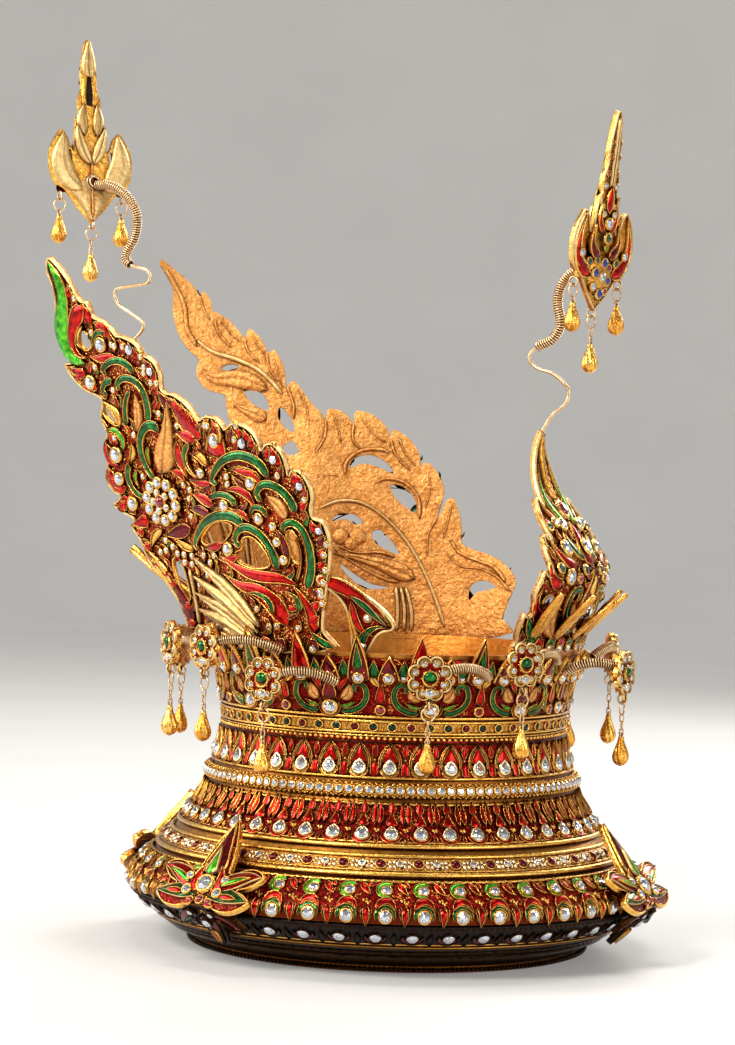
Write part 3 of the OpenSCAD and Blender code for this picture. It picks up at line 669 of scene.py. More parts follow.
def ring_frames(angles, z, h=0.0, tip=None, spin=0.0):
    a = np.radians(np.atleast_1d(np.asarray(angles, float)))
    s = s_of(z)
    zc, r = zr(s)
    tz, tr = prof_dir(s)
    er = np.stack([-np.sin(a), -np.cos(a), 0 * a], 1)
    ex = np.stack([np.cos(a), -np.sin(a), 0 * a], 1)
    Z = np.array([0, 0, 1.0])
    if tip is None:
        n, ey = er * tz - Z * tr, er * tr + Z * tz
    else:
        t = math.radians(tip)
        n, ey = er * cos(t) + Z * sin(t), -er * sin(t) + Z * cos(t)
    O = er * (r + GAP * tz) + Z * (zc - GAP * tr) + n * h
    sp = np.radians(np.broadcast_to(np.asarray(spin, float), a.shape))[:, None]
    return O, ex * np.cos(sp) + ey * np.sin(sp), ey * np.cos(sp) - ex * np.sin(sp), n


def around(n, first=0.0):
    return [first + i * 360.0 / n for i in range(n)]


def revolve(node, key, section, segs=180, closed=True, smooth=True, raw=False):
    """section: list of (z, h) on the profile, or (z, r) if raw, going outward face first (counter-clockwise seen with z up and r right reversed)."""
    if raw:
        zs = np.array([q[0] for q in section], float)
        rs = np.array([q[1] for q in section], float)
    else:
        s = s_of(np.array([q[0] for q in section], float))
        h = np.array([q[1] for q in section], float)
        z, r = zr(s)
        tz, tr = prof_dir(s)
        rs, zs = r + tz * (h + GAP), z - tr * (h + GAP)
    a = np.arange(segs) * 2 * pi / segs
    P = np.stack([-rs[None, :] * np.sin(a)[:, None], -rs[None, :] * np.cos(a)[:, None], np.broadcast_to(zs, (segs, len(zs)))], -1)
    f = grid_faces(segs, len(zs), True, closed)
    # at a = 0 the angle grows towards -X, so (angle, up) faces inward: reverse
    acc(node, key).add(P.reshape(-1, 3), f[:, ::-1], smooth)


def band(node, key, z0, z1, t, steps=4, segs=180, round_=0.3):
    """Closed band of thickness t that lies on the profile from z0 to z1."""
    zs = np.linspace(z0, z1, steps)
    sec = [(z0, 0)] + [(z0 + 0.02, t - round_)] + [(min(max(z, z0 + round_), z1 - round_), t) for z in zs] + [(z1 - 0.02, t - round_)] + [(z1, 0)]
    sec += [(z, 0) for z in zs[::-1][1:-1:2]]
    revolve(node, key, sec, segs)


def line(node, key, z, h, r, segs=180, sides=7):
    sec = [(z + r * sin(2 * pi * k / sides), h + r * cos(2 * pi * k / sides)) for k in range(sides)]
    revolve(node, key, sec[::-1] if False else sec, segs)


def rope(node, key, z, h, r, turns=180, per=4, sides=5, twist=0.28):
    """Twisted cord round the ring."""
    n = turns * per
    a = np.arange(n) * 2 * pi / n
    k = np.arange(sides) * 2 * pi / sides
    A, K = np.meshgrid(a, k, indexing="ij")
    rad = r * (1 + twist * np.cos(K * 1 - A * turns))
    z0 = float(s_of(z))
    W = ring_point(A, z0 + rad * np.sin(K), h + rad * np.cos(K))
    acc(node, key).add(W.reshape(-1, 3), grid_faces(n, sides, True, True)[:, ::-1])


def ring_beads(node, key, z, h, r, n, first=0.0, flat=1.0):
    m = Motif()
    v, fs = dome_mesh(r, r * flat, 7, 2)
    m.part(key).add(v, fs)
    stamp(m, node, ring_frames(around(n, first), z, h))


# ---- rim beading
m = Motif()
v, fs = dome_mesh(1.0, 1.0, 7, 2)
v2 = v * np.array([1, 1, -1])
# The bottom beads are the near-black umber gold: painted shade, partly patina.
m.part("umber").add(v * 1.18, fs)
m.part("umber").add(v2 * 1.18, [f[:, ::-1] for f in fs])
a = np.radians(around(262))
er = np.stack([-np.sin(a), -np.cos(a), 0 * a], 1)
ex = np.stack([np.cos(a), -np.sin(a), 0 * a], 1)
stamp(m, "base_beading", (er * 98.5 + np.array([0, 0, 1.6]), ex, np.tile([0, 0, 1.0], (262, 1)), er))

# ---- underside row
N = "lower_petal_row"
# Painted shade, partly patina: the underside gets a near-black enamel ground and near-black umber gold, with only two
# fine lines left bright.
band(N, "dark", 9.0, 26.5, 0.9, 8)
line(N, "umber", 9.9, 1.0, 0.9)
line(N, "body", 15.4, 1.1, 0.8)
rope(N, "umber", 12.6, 0.9, 0.8, 150)
line(N, "gilt", 17.2, 0.9, 0.35)
ring_beads(N, "umber", 25.6, 0.9, 0.9, 270)
m = Motif()
gem(m, 0, 4.6, 2.7, 0.9, gold="umber", wall=0.6)
cell(m, [(-4.6, 6.5), (-3.9, 2.2), (0, 0.4), (3.9, 2.2), (4.6, 6.5)], 1.5, "scroll", 14, 0.5, 0.8, 1.2, 0.5, 0.3, "umber", "wine")
ring_wrap(m, N, around(45, 4), 18.2)
m = Motif()
cell(m, [(0, -1.5), (0, 3), (0, 8)], 1.7, "leaf", 10, 0.5, 0.8, 1.3, 0.5, 0.3, "umber", "dark")
ring_wrap(m, N, around(45, 0), 18.2)

# ---- ridge row
N = "upper_petal_row"
band(N, "field", 31.6, 44.5, 1.3, 6)
rope(N, "gilt", 44.2, 1.2, 0.9, 220)
m = Motif()
# lower stone, on the edge of the ridge, with its green and red caps
g_ = Motif()
gem(g_, 0, 0, 2.6, 1.2, wall=0.6)
for mesh_ in g_.parts.values():
    mesh_.v = [v_ * np.array([1, 0.80, 1]) + np.array([0, -0.8, 0]) for v_ in mesh_.v]
m.join(g_)
cell(m, [(-4.1, -2.2), (-3.7, 1.2), (0, 3.2), (3.7, 1.2), (4.1, -2.2)], 1.2, "scroll", 16, 0.42, 0.9, 1.5, 0.8, 0.3, "gilt", "green")
cell(m, [(-4.5, 1.4), (-2.4, 4.9), (0.4, 6.0), (3.2, 4.6), (5.0, 1.0)], 1.8, "leaf", 14, 0.42, 1.1, 1.8, 0.9, 0.4, "gilt", "red")
# upper stone in its bright green crescent
gem(m, 0.3, 11.4, 2.35, 1.6, wall=0.5)
cell(m, [(3.4, 13.8), (0.4, 15.3), (-3.2, 13.6), (-3.6, 10.0), (-1.2, 8.0), (2.4, 8.4)], 1.5, "scroll", 18, 0.42, 1.1, 1.7, 0.9, 0.35, "gilt", "lime")
ring_wrap(m, N, around(45, 2), 31.3)
m = Motif()
# slanting leaves and granules between the stones
cell(m, [(-3.4, 16.0), (-1.9, 13.6), (-0.2, 11.0), (1.9, 8.6)], 1.75, "leaf", 12, 0.42, 1.0, 1.9, 1.0, 0.5, "gilt", "red")
cell(m, [(0.2, 16.2), (1.0, 14.6), (2.8, 13.0)], 1.25, "leaf", 9, 0.35, 1.0, 1.6, 0.9, 0.4, "gilt", "red")
cell(m, [(0, 3.6), (0.2, -0.2), (0, -4.6)], 1.7, "leaf", 12, 0.42, 0.5, 1.6, 0.9, 0.5, "gilt", "red")
for q_ in (-1, 1):
    cell(m, [(q_ * 2.2, 3.4), (q_ * 2.0, 0.6), (q_ * 1.5, -2.4)], 0.8, "leaf", 9, 0.3, 0.5, 1.3, 0.8, 0.3, "gilt", "wine")
grains(m, 0.2, 5.8, 1.9, 1.4, 8, (0.5, 0.95), 1.0, "gilt", 5)
ring_wrap(m, N, around(45, 6), 31.3)

# ---- flange band
N = "flange_stone_band"
band(N, "grain", 46.2, 55.6, 1.1, 5)
line(N, "gilt", 47.2, 1.3, 1.0)
rope(N, "gilt", 48.9, 1.0, 0.6, 260)
line(N, "gilt", 55.0, 1.2, 0.75)
m = Motif()
v, fs = dome_mesh(2.35, 1.4, 12, 4)
m.part("garnet").add(v + np.array([0, 0, 1.5]), fs)
P = cup_mesh(2.35, 0.45, 1.1, 12) + np.array([0, 0, 0.9])
m.part("gilt").add(P.reshape(-1, 3), grid_faces(P.shape[0], P.shape[1], False, True), True, True)
ring_wrap(m, N, around(40, 4.5), 51.6)
m = Motif()
v, fs = dome_mesh(1.5, 1.2, 7, 2)
for q_ in (-3.4, 3.4):
    for x_, y_ in ((1, 1), (1, -1), (-1, 1), (-1, -1)):
        m.part("boss").add(v * np.array([0.72, 0.85, 0.9]) + np.array([q_ + x_ * 1.0, y_ * 1.25, 0.9]), fs)
gem(m, 0, 0, 1.35, 1.2, wall=0.5, gold="boss")
for q_ in (-1, 1):
    m.part("boss").add(v * np.array([0.6, 0.6, 0.8]) + np.array([q_ * 5.5, 0, 0.9]), fs)
    m.part("boss").add(v * np.array([0.45, 0.45, 0.8]) + np.array([0, q_ * 2.5, 0.9]), fs)
grains(m, 0, 0, 4.8, 2.2, 8, (0.45, 0.65), 0.9, "wine", 9)
ring_wrap(m, N, around(40, 0), 51.6)

# ---- lower leaf row
N = "lower_leaf_row"
band(N, "field", 58.8, 78.5, 0.7, 9)
line(N, "gilt", 59.3, 1.0, 1.0)
line(N, "gilt", 61.0, 0.8, 0.5)
rope(N, "gilt", 78.0, 0.8, 0.8, 200)
m = Motif()
cell(m, [(-4.2, 5.2), (-4.0, 1.8), (0, -0.4), (4.0, 1.8), (4.2, 5.2)], 1.2, "scroll", 14, 0.36, 0.7, 1.2, 0.7, 0.3, "gilt", "red")
gem(m, 0, 4.2, 2.55, 1.2, point=0.42, wall=0.75, n=8, gold="boss")
cell(m, [(0, 7.6), (0, 11), (0, 15.6)], 2.9, "flame", 12, 0.36, 0.9, 1.9, 1.0, 0.6, "gilt", "red")
cell(m, [(0, 14.0), (0.2, 18.0), (0, 21.8)], 2.0, "leaf", 10, 0.26, 0.6, 1.6, 0.9, 0.5, "gilt", "red")
ring_wrap(m, N, around(46, 2.6), 61.0)
m = Motif()
grains(m, 0, 6.4, 1.5, 1.5, 8, (0.5, 0.85), 1.0, "gilt", 3)
for dx, w in ((-1.6, 1.45), (1.5, 1.5)):
    cell(m, [(dx * 0.8, 9), (dx, 14), (dx * 0.8, 21.8)], w, "leaf", 10, 0.26, 0.6, 1.7, 1.1, 0.4, "gilt", "red")
cell(m, [(0, -0.3), (0, 1.8), (0, 3.9)], 1.0, "leaf", 8, 0.3, 0.6, 1.2, 0.7, 0.3, "gilt", "red")
ring_wrap(m, N, around(46, 2.6 + 180 / 46), 61.0)

# ---- crystal chain
N = "crystal_chain"
revolve(N, "gilt", [(80.8, 0), (80.85, 0.9), (81.4, 1.9), (82.2, 2.7), (84.2, 3.0), (86.2, 2.7), (87.0, 1.9), (87.55, 0.9), (87.6, 0), (84.2, 0)])
m = Motif()
gem(m, 0, 0, 1.8, 2.7, wall=0.42, cup=1.1)
for s in (-1, 1):
    for q in (-1.2, 1.2):
        bead(m, q * 1.0, s * 2.5, 0.62, 2.5)
    bead(m, 2.4, s * 1.5, 0.6, 2.5)
stamp(m, N, ring_frames(around(120), 84.2, 0))
ring_beads(N, "gilt", 81.2, 1.5, 0.85, 200)
ring_beads(N, "gilt", 87.2, 1.5, 0.85, 200)

# ---- upper leaf row
N = "upper_leaf_row"
band(N, "field", 89.4, 109.6, 0.8, 8)
line(N, "gilt", 89.9, 0.9, 0.7)
line(N, "umber", 106.4, 0.8, 0.5)
ring_beads(N, "gilt", 108.3, 0.8, 1.05, 190)
rope(N, "gilt", 109.6, 0.8, 0.6, 200)
m = Motif()
# pointed arch with a red leaf over each stone
for s in (-1, 1):
    cell(m, [(s * 4.4, 3.0), (s * 4.9, 7.0), (s * 3.4, 11.4), (s * 0.3, 15.6)], 0.8, "scroll", 14, 0.6, 0.5, 1.6, 0.9, 0.3, "gilt", "gilt")
cell(m, [(0, 5.4), (0, 9.5), (0, 14.6)], 4.1, "flame", 12, 0.36, 0.6, 1.5, 0.9, 0.6, "gilt", "red")
cell(m, [(-4.0, 3.8), (-3.6, 0.9), (0, -1.0), (3.6, 0.9), (4.0, 3.8)], 0.8, "scroll", 14, 0.36, 0.6, 1.2, 0.7, 0.3, "gilt", "gilt")
gem(m, 0, 3.4, 2.35, 1.4, point=0.5, wall=0.85, gold="boss")
ring_wrap(m, N, around(38, 0.0), 91.0)
m = Motif()
cell(m, [(0, -0.8), (0, 2.6), (0, 6.6)], 1.9, "band", 9, 0.35, 0.5, 1.2, 0.7, 0.5, "gilt", "red")
cell(m, [(0, 8.2), (0, 12), (0, 15.6)], 1.5, "leaf", 9, 0.3, 0.5, 1.2, 0.7, 0.4, "gilt", "red")
bead(m, 0, 7.6, 0.8, 0.7)
ring_wrap(m, N, around(38, 180 / 38), 91.0)

# ---- dot band
N = "dot_stone_band"
band(N, "grain", 110.6, 117.2, 0.9, 4)
line(N, "gilt", 111.2, 1.1, 0.75)
line(N, "gilt", 116.7, 1.1, 0.7)
for i, kind in enumerate(("jet", "garnet", "jet")):
    m = Motif()
    v, fs = dome_mesh(1.95, 1.0, 12, 3)
    m.part(kind).add(v + np.array([0, 0, 1.2]), fs)
    P = cup_mesh(1.95, 0.5, 1.2, 11) + np.array([0, 0, 0.8])
    m.part("gilt").add(P.reshape(-1, 3), grid_faces(P.shape[0], P.shape[1], False, True), True, True)
    ring_wrap(m, N, around(20, 6.0 * i), 114.0)
m = Motif()
grains(m, 0, 0, 0.8, 1.8, 6, (0.35, 0.6), 0.8, "gilt", 21)
ring_wrap(m, N, around(60, 3.0), 114.0)

# ---- scroll band
N = "scroll_band"
band(N, "field", 118.2, 146.6, 0.6, 8)
line(N, "gilt", 118.7, 0.9, 0.8)
m = Motif()
gem(m, 0, 3.2, 2.9, 1.4, wall=0.9, beads=0)
cell(m, [(-4.2, 6.4), (-4.6, 2.4), (0, -0.9), (4.6, 2.4), (4.2, 6.4)], 1.2, "scroll", 14, 0.4, 0.6, 1.6, 0.9, 0.3, "gilt", "wine")
cell(m, [(0, 6.6), (0, 12), (0, 20.5)], 3.7, "flame", 14, 0.75, 0.6, 2.6, 1.4, 0.8, "gilt", "wine")
for s in (-1, 1):
    cell(m, [(s * 5.6, 1.6), (s * 10, 1.8), (s * 15.2, 4.6), (s * 17.4, 9.4), (s * 16, 14.2), (s * 12.6, 15.0), (s * 11.4, 12.2), (s * 13.2, 10.9)],
         1.75, "scroll", 34, 0.5, 0.5, 1.9, 0.9, 0.5, "gilt", "green")
    cell(m, [(s * 5.0, 3.6), (s * 9, 4.6), (s * 12.6, 6.6)], 1.0, "leaf", 12, 0.35, 0.6, 1.7, 1.0, 0.5, "gilt", "lime")
    rib_leaf(m, [(s * 5.2, 7.6), (s * 8.4, 9.6), (s * 9.6, 14.8)], 2.9, "leaf", 12, 0.5, 1.5, "matte")
    cell(m, [(s * 4.2, 11.5), (s * 6.6, 16.5), (s * 10.5, 20.0)], 1.6, "leaf", 12, 0.4, 0.5, 1.8, 0.9, 0.5, "gilt", "red")
    gem(m, s * 13.4, 19.0, 1.8, 1.0, wall=0.7)
    grains(m, s * 8.4, 3.0, 1.8, 0.6, 4, (0.35, 0.55), 0.6, "gilt", 31)
ring_wrap(m, N, [q * s for s in (-1, 1) for q in (22, 54, 86, 118, 150)] + [180], 119.6)
m = Motif()
gem(m, 0, 3.2, 2.4, 1.4, wall=0.8)
cell(m, [(0, 6.2), (0, 11), (0, 19.5)], 3.2, "flame", 14, 0.65, 0.6, 2.4, 1.3, 0.8, "gilt", "wine")
for s in (-1, 1):
    cell(m, [(s * 2.4, 8.5), (s * 4.4, 13), (s * 3.8, 19.0)], 1.2, "leaf", 12, 0.35, 0.5, 1.8, 0.9, 0.5, "gilt", "lime")
    cell(m, [(s * 13.2, 1.4), (s * 14.6, 6), (s * 12.6, 11.5)], 1.6, "leaf", 12, 0.4, 0.5, 1.8, 0.9, 0.5, "gilt", "green")
ring_wrap(m, N, [0], 119.6)
m = Motif()
gem(m, 0, 2.6, 1.9, 1.0, kind="ruby", wall=0.7)
cell(m, [(0, 5.6), (0, 10), (0, 17.4)], 2.5, "flame", 12, 0.5, 0.5, 1.9, 1.0, 0.6, "gilt", "red")
for s in (-1, 1):
    rib_leaf(m, [(s * 0.6, 14), (s * 3.4, 18), (s * 3.2, 22)], 2.2, "leaf", 10, 0.5, 1.6, "gilt")
ring_wrap(m, N, [6, -6, 38, -38, 70, -70, 102, -102, 134, -134, 166, -166], 119.6)
# petals along the top edge: on the two sides every other one stands tall between the low ones
def crest_petal(h, fill, heart=None):
    m = Motif()
    cell(m, [(0, 0), (0, h * 0.4), (0, h)], 5.4, "ogive", 16, 0.95, 0.0, 2.4, 1.2, 0.9, "gilt", fill)
    gem(m, 0, 3.6, 2.1, 1.7, wall=0.65)
    if heart:
        cell(m, [(0, 7.6), (0, h * 0.6), (0, h * 0.86)], 2.5, "flame", 12, 0.5, 1.5, 1.3, 0.8, 0.5, "gilt", heart)
    for s_ in (-1, 1):
        bead(m, s_ * 2.9, 6.3, 0.62, 1.6)
    return m


def crest_back(h):
    m = Motif()
    rib_leaf(m, [(0, 0), (0, h * 0.4), (0, h - 0.1)], widths("ogive", 14, 5.3), None, 14, 0.0, 0.8, "matte", 3)
    return m


def crest_frames(angles, h=0.0, r=88.7, z=134.6, tip=-21.0):
    a = np.radians(np.asarray(angles, float))
    t = math.radians(tip)
    er = np.stack([-np.sin(a), -np.cos(a), 0 * a], 1)
    ex = np.stack([np.cos(a), -np.sin(a), 0 * a], 1)
    up_ = np.array([0, 0, 1.0])
    n, ey = er * cos(t) + up_ * sin(t), -er * sin(t) + up_ * cos(t)
    return er * r + up_ * z + n * h, ex, ey, n


def stands_tall(a):
    d = 360 - a if a > 180 else a
    return round((a - 4.5) / 9) % 2 == 0 and 37 < d < 135 and abs(d - 85.5) > 2


tall = [q for q in around(40, 4.5) if stands_tall(q)]
low = [q for q in around(40, 4.5) if q not in tall]
for angles, h, fill, heart in ((tall[::2], 25.8, "wine", "green"), (tall[1::2], 25.8, "red", None), (low, 14.6, "wine", None)):
    O, EX, EY, NN = crest_frames(angles, 0.35)
    stamp(crest_petal(h, fill, heart), N, (O, EX, EY, NN))
    stamp(crest_back(h), N, (O - NN * 0.05, -EX, EY, -NN))
m = Motif()
cell(m, [(0, 0), (0, 3), (0, 9.4)], 3.0, "ogive", 11, 0.6, 0.0, 1.4, 0.8, 0.6, "gilt", "green")
stamp(m, N, crest_frames(around(40, 0), 0.3, 88.9, 137.6))

# ---------------------------------------------------------------- wings

def closed_curve(pts, per=6):
    p = np.asarray(pts, float)
    out = []
    n = len(p)
    for i in range(n):
        a, b, c, d = p[i - 1], p[i], p[(i + 1) % n], p[(i + 2) % n]
        t = np.linspace(0, 1, per + 1)[:-1, None]
        out.append(0.5 * (2 * b + (c - a) * t + (2 * a - 5 * b + 4 * c - d) * t * t + (3 * b - a - 3 * c + d) * t ** 3))
    return np.vstack(out)


def inside(poly, pts):
    """Even-odd test of many points against one closed polygon."""
    x, y = pts[:, 0], pts[:, 1]
    res = np.zeros(len(pts), bool)
    n = len(poly)
    for i in range(n):
        x1, y1 = poly[i]
        x2, y2 = poly[(i + 1) % n]
        if y1 == y2:
            continue
        hit = ((y1 > y) != (y2 > y)) & (x < (x2 - x1) * (y - y1) / (y2 - y1) + x1)
        res ^= hit
    return res


def seg_dist(poly, pts):
    """Distance of points to a closed polygon's edge."""
    best = np.full(len(pts), 1e9)
    n = len(poly)
    for i in range(n):
        a, b = poly[i], poly[(i + 1) % n]
        d = b - a
        L = d @ d
        t = np.clip(((pts - a) @ d) / (L + 1e-12), 0, 1)
        q = a + t[:, None] * d
        best = np.minimum(best, np.hypot(*(pts - q).T))
    return best


def plate(node, outline, holes, surf_out, key_front, key_back, key_edge, h1=-0.5, h0=-2.6, step=3.2, round_=1.0, relief=None, back_relief=None):
    """Thin plate cut to a flat outline with holes, laid on a curved ground, its edges rounded off."""
    outline = np.asarray(outline, float)
    polys = [outline] + [np.asarray(h, float) for h in holes]
    lo, hi = outline.min(0), outline.max(0)
    gx, gy = np.meshgrid(np.arange(lo[0], hi[0] + step, step), np.arange(lo[1], hi[1] + step, step * 0.87))
    gx = gx + (np.arange(gx.shape[0]) % 2)[:, None] * step / 2
    g = np.stack([gx.ravel(), gy.ravel()], 1)
    keep = inside(outline, g)
    for h in polys[1:]:
        keep &= ~inside(h, g)
    for p in polys:
        keep &= seg_dist(p, g) > step * 0.45
    g = g[keep]
    pts, edges = [], []
    for p in polys:
        b = len(pts)
        pts += [Vector((float(x), float(y))) for x, y in p]
        edges += [(b + i, b + (i + 1) % len(p)) for i in range(len(p))]
    pts += [Vector((float(x), float(y))) for x, y in g]
    v, e, f, *_ = delaunay_2d_cdt(pts, edges, [], 0, 1e-4)
    v = np.array([[q.x, q.y] for q in v])
    f = np.array(f, int)
    c = v[f].mean(1)
    ok = inside(outline, c)
    for h in polys[1:]:
        ok &= ~inside(h, c)
    f = f[ok]
    d1, d2 = v[f[:, 1]] - v[f[:, 0]], v[f[:, 2]] - v[f[:, 0]]
    area2 = d1[:, 0] * d2[:, 1] - d1[:, 1] * d2[:, 0]
    f = np.where((area2 < 0)[:, None], f[:, ::-1], f)
    f = f[np.abs(area2) > 1e-6]
    dist = np.full(len(v), 1e9)
    for p in polys:
        dist = np.minimum(dist, seg_dist(p, v))
    ease = np.sqrt(np.clip(1 - (1 - np.clip(dist / round_, 0, 1)) ** 2, 0, 1))
    front = h1 - 0.45 + 0.45 * ease + (0 if relief is None else relief(v, dist))
    back = h0 + 0.35 - 0.35 * ease - (0 if back_relief is None else back_relief(v, dist))
    flip = surf_out.sign < 0
    acc(node, key_front).add(surf_out.at(v[:, 0], v[:, 1], front), f, True, flip)
    acc(node, key_back).add(surf_out.at(v[:, 0], v[:, 1], back), f[:, ::-1], True, flip)
    und = {}
    for tri in f:
        for a, b in ((tri[0], tri[1]), (tri[1], tri[2]), (tri[2], tri[0])):
            und[(a, b)] = und.get((a, b), 0) + 1
    rim = [(a, b) for (a, b) in und if (b, a) not in und]
    ids = sorted({i for ab in rim for i in ab})
    at = {q: k for k, q in enumerate(ids)}
    vv = v[ids]
    fr, bk = front[ids], back[ids]
    rows = [fr, bk]
    P = np.concatenate([surf_out.at(vv[:, 0], vv[:, 1], h) for h in rows])
    m = len(ids)
    q = np.array([(at[b], at[a], m + at[a], m + at[b]) for a, b in rim])
    acc(node, key_edge).add(P, q, False, flip)


WR, WA0, WA1 = 92.0, math.radians(80), math.radians(142)
WP0 = np.array([WR * sin(WA0), -WR * cos(WA0), 149.0])
WP1 = np.array([WR * sin(WA1), -WR * cos(WA1), 149.0])
WL = float(np.linalg.norm(WP1 - WP0))
WD = (WP1 - WP0) / WL
WOUT = np.array([WD[1], -WD[0], 0.0])
LEAN = math.radians(12)
WV = WOUT * sin(LEAN) + np.array([0, 0, cos(LEAN)])
WN = WOUT * cos(LEAN) - np.array([0, 0, sin(LEAN)])


def bulge(u, v):
    return 12 * np.sin(pi * np.clip((u + 6) / (WL + 12), 0, 1)) ** 0.8 * np.clip(1 - v / 190, 0, 1) ** 1.5


def wing_surface(side):
    def S(u, v):
        u, v = np.asarray(u, float), np.asarray(v, float)
        P = WP0 + u[..., None] * WD + v[..., None] * WV + bulge(u, v)[..., None] * WN
        return P if side == "right" else P * np.array([-1, 1, 1])
    return S


class Inner(Surf):
    """The other face of a plate of thickness t."""

    def __init__(self, outer, t):
        self.outer, self.t = outer, t
        super().__init__(lambda x, y: outer.at(np.asarray(x, float), np.asarray(y, float), np.full(np.shape(x), -t)), -outer.sign, outer.e)


# Outlines, (u, v): up the front edge lobe by lobe, over the tip and down the rear edge
OUT_A = [(9, 0.6), (8.6, 11), (7, 21), (4.4, 31), (1.6, 42), (0.5, 50), (0.5, 56), (3, 63), (8.5, 65), (9, 70), (7.5, 74), (9, 81), (14, 87), (20, 87),
         (21, 84), (21.5, 88), (24, 95), (30, 100), (36, 99), (38, 96), (39, 100), (43, 105), (50, 108.5), (58, 109), (63, 106), (65, 108),
         (70, 111.5), (78, 112), (83, 110), (86, 113), (94, 119), (103, 122.5), (107, 122.5), (110, 125), (109.5, 131), (112, 137), (118, 141),
         (121, 141), (123, 145), (128, 148.5), (136, 151), (139, 151), (142, 154), (149, 158.5), (156, 161), (157, 164), (159, 168), (164, 169),
         (169, 177), (176, 185), (184.5, 191), (187.5, 184), (185, 177), (184, 168), (186, 156), (183.5, 145), (177, 139), (177, 137.5),
         (182.5, 136.5), (179, 130), (171, 124), (163, 121), (157, 118), (160, 110), (157.5, 104), (156.5, 101), (160.5, 95), (158.5, 88.5),
         (161, 81), (158.5, 74), (152, 70), (158.5, 65), (152, 61), (144, 58), (147, 54), (141, 47), (137, 37), (126, 27), (114, 13), (104, 0.6)]
HOLES_A = [[(38, 42), (42, 49), (49, 54), (56, 53), (57, 48), (62, 46), (59, 42), (48, 40)],
           [(64, 59), (74, 60.5), (84, 56.5), (91, 50.5), (86, 49), (76, 50), (69, 53)],
           [(18.5, 44), (18.5, 52), (22, 58), (25.5, 57), (24, 50), (21.5, 44)],
           [(147, 106), (150, 112), (156, 117), (157.5, 113), (153, 108)],
           [(160, 146), (163, 152), (168, 153), (169, 148), (165, 144)],
           [(109, 20), (110, 30), (113, 39), (118, 38), (117, 28), (113, 18)]]
OUT_B = [(-1, 0.6), (-3, 10), (-6, 20), (-9, 30), (-4, 38), (4, 43.5), (13, 46.5), (20, 50), (20.5, 57), (22, 66), (26, 74), (29.5, 71.5),
         (31.5, 66), (33.5, 64), (32, 70), (30.5, 78), (34.5, 87), (40, 92.5), (43.5, 90), (44, 86), (43.5, 91), (45, 98), (50.5, 105), (58.5, 109.5),
         (60.5, 105), (61.5, 109), (67, 115), (75, 118.5), (79.5, 118), (80.2, 112), (83, 115.5), (88, 118.5), (94, 118.5), (95, 113), (97, 116),
         (103, 122), (108.5, 129), (113, 133.5), (116, 130), (117, 133), (118.5, 141), (123.5, 149.5), (127.5, 148), (128.5, 151), (132.5, 157),
         (138, 161), (140, 156), (142.5, 158.5), (148, 164.5), (156, 169.5), (158, 170), (160, 177), (164, 181), (165, 178), (169.5, 184),
         (178, 191), (186.5, 197.5), (188, 195), (184, 189), (180, 181), (179.5, 171), (177, 160), (171, 150), (164, 143.5), (165, 139),
         (163.5, 132), (158, 127), (150, 125), (148.5, 123), (147.5, 117), (145, 109), (141, 103), (149, 102), (156.5, 97), (157, 88),
         (160.5, 80), (158, 73), (150, 69), (155, 62), (148, 54), (138, 48), (131, 40), (122, 31), (111, 20), (103, 0.6)]
HOLES_B = [[(58, 86), (62, 92), (71, 95.5), (79, 93), (81, 88), (74, 90.5), (66, 89)],
           [(45, 66), (46, 73), (52, 79), (59, 80), (57, 74), (50, 68)],
           [(53, 43.5), (58, 51), (64, 56), (68, 54), (66, 49), (61, 46)],
           [(73, 59.5), (78, 63.5), (86, 63), (89, 59), (82, 60.5), (77, 58)],
           [(58, 26), (68, 27.5), (78, 33), (84, 37), (80, 31), (70, 24.5)],
           [(1, 27), (7, 30.5), (14, 28), (15, 20), (11, 24), (6, 25)],
           [(108, 95), (112, 101), (117, 97), (113, 93)],
           [(111, 106), (113, 113), (119, 119), (120, 113), (115, 107)],
           [(125, 117), (127, 124), (133, 128), (139, 128), (136, 122), (130, 118)],
           [(142, 140), (147, 141.5), (152, 139), (147, 137.5)]]


def scallop(size, fill="red", stone="crystal", r=2.6, rim=0.9):
    """Rounded leaf lobe with an arched rim, an enamel crescent and a stone; its tip is at (0, size)."""
    m = Motif()
    s = size / 16.0
    cell(m, [(0, -2 * s), (0, 6 * s), (0, 15.5 * s)], 7.4 * s, "ogive", 16, rim, 0, 2.1, 1.0, 0.9, "gilt", fill)
    cell(m, [(-2.8 * s, 4 * s), (-4.4 * s, 8 * s), (-2.2 * s, 12.6 * s), (0.6 * s, 13.6 * s)], 1.25 * s, "leaf", 12, 0.35, 1.2, 1.5, 0.8, 0.4, "gilt", "gilt")
    gem(m, 0.5 * s, 5.4 * s, r, 1.5, kind=stone, wall=0.75, beads=0)
    return m


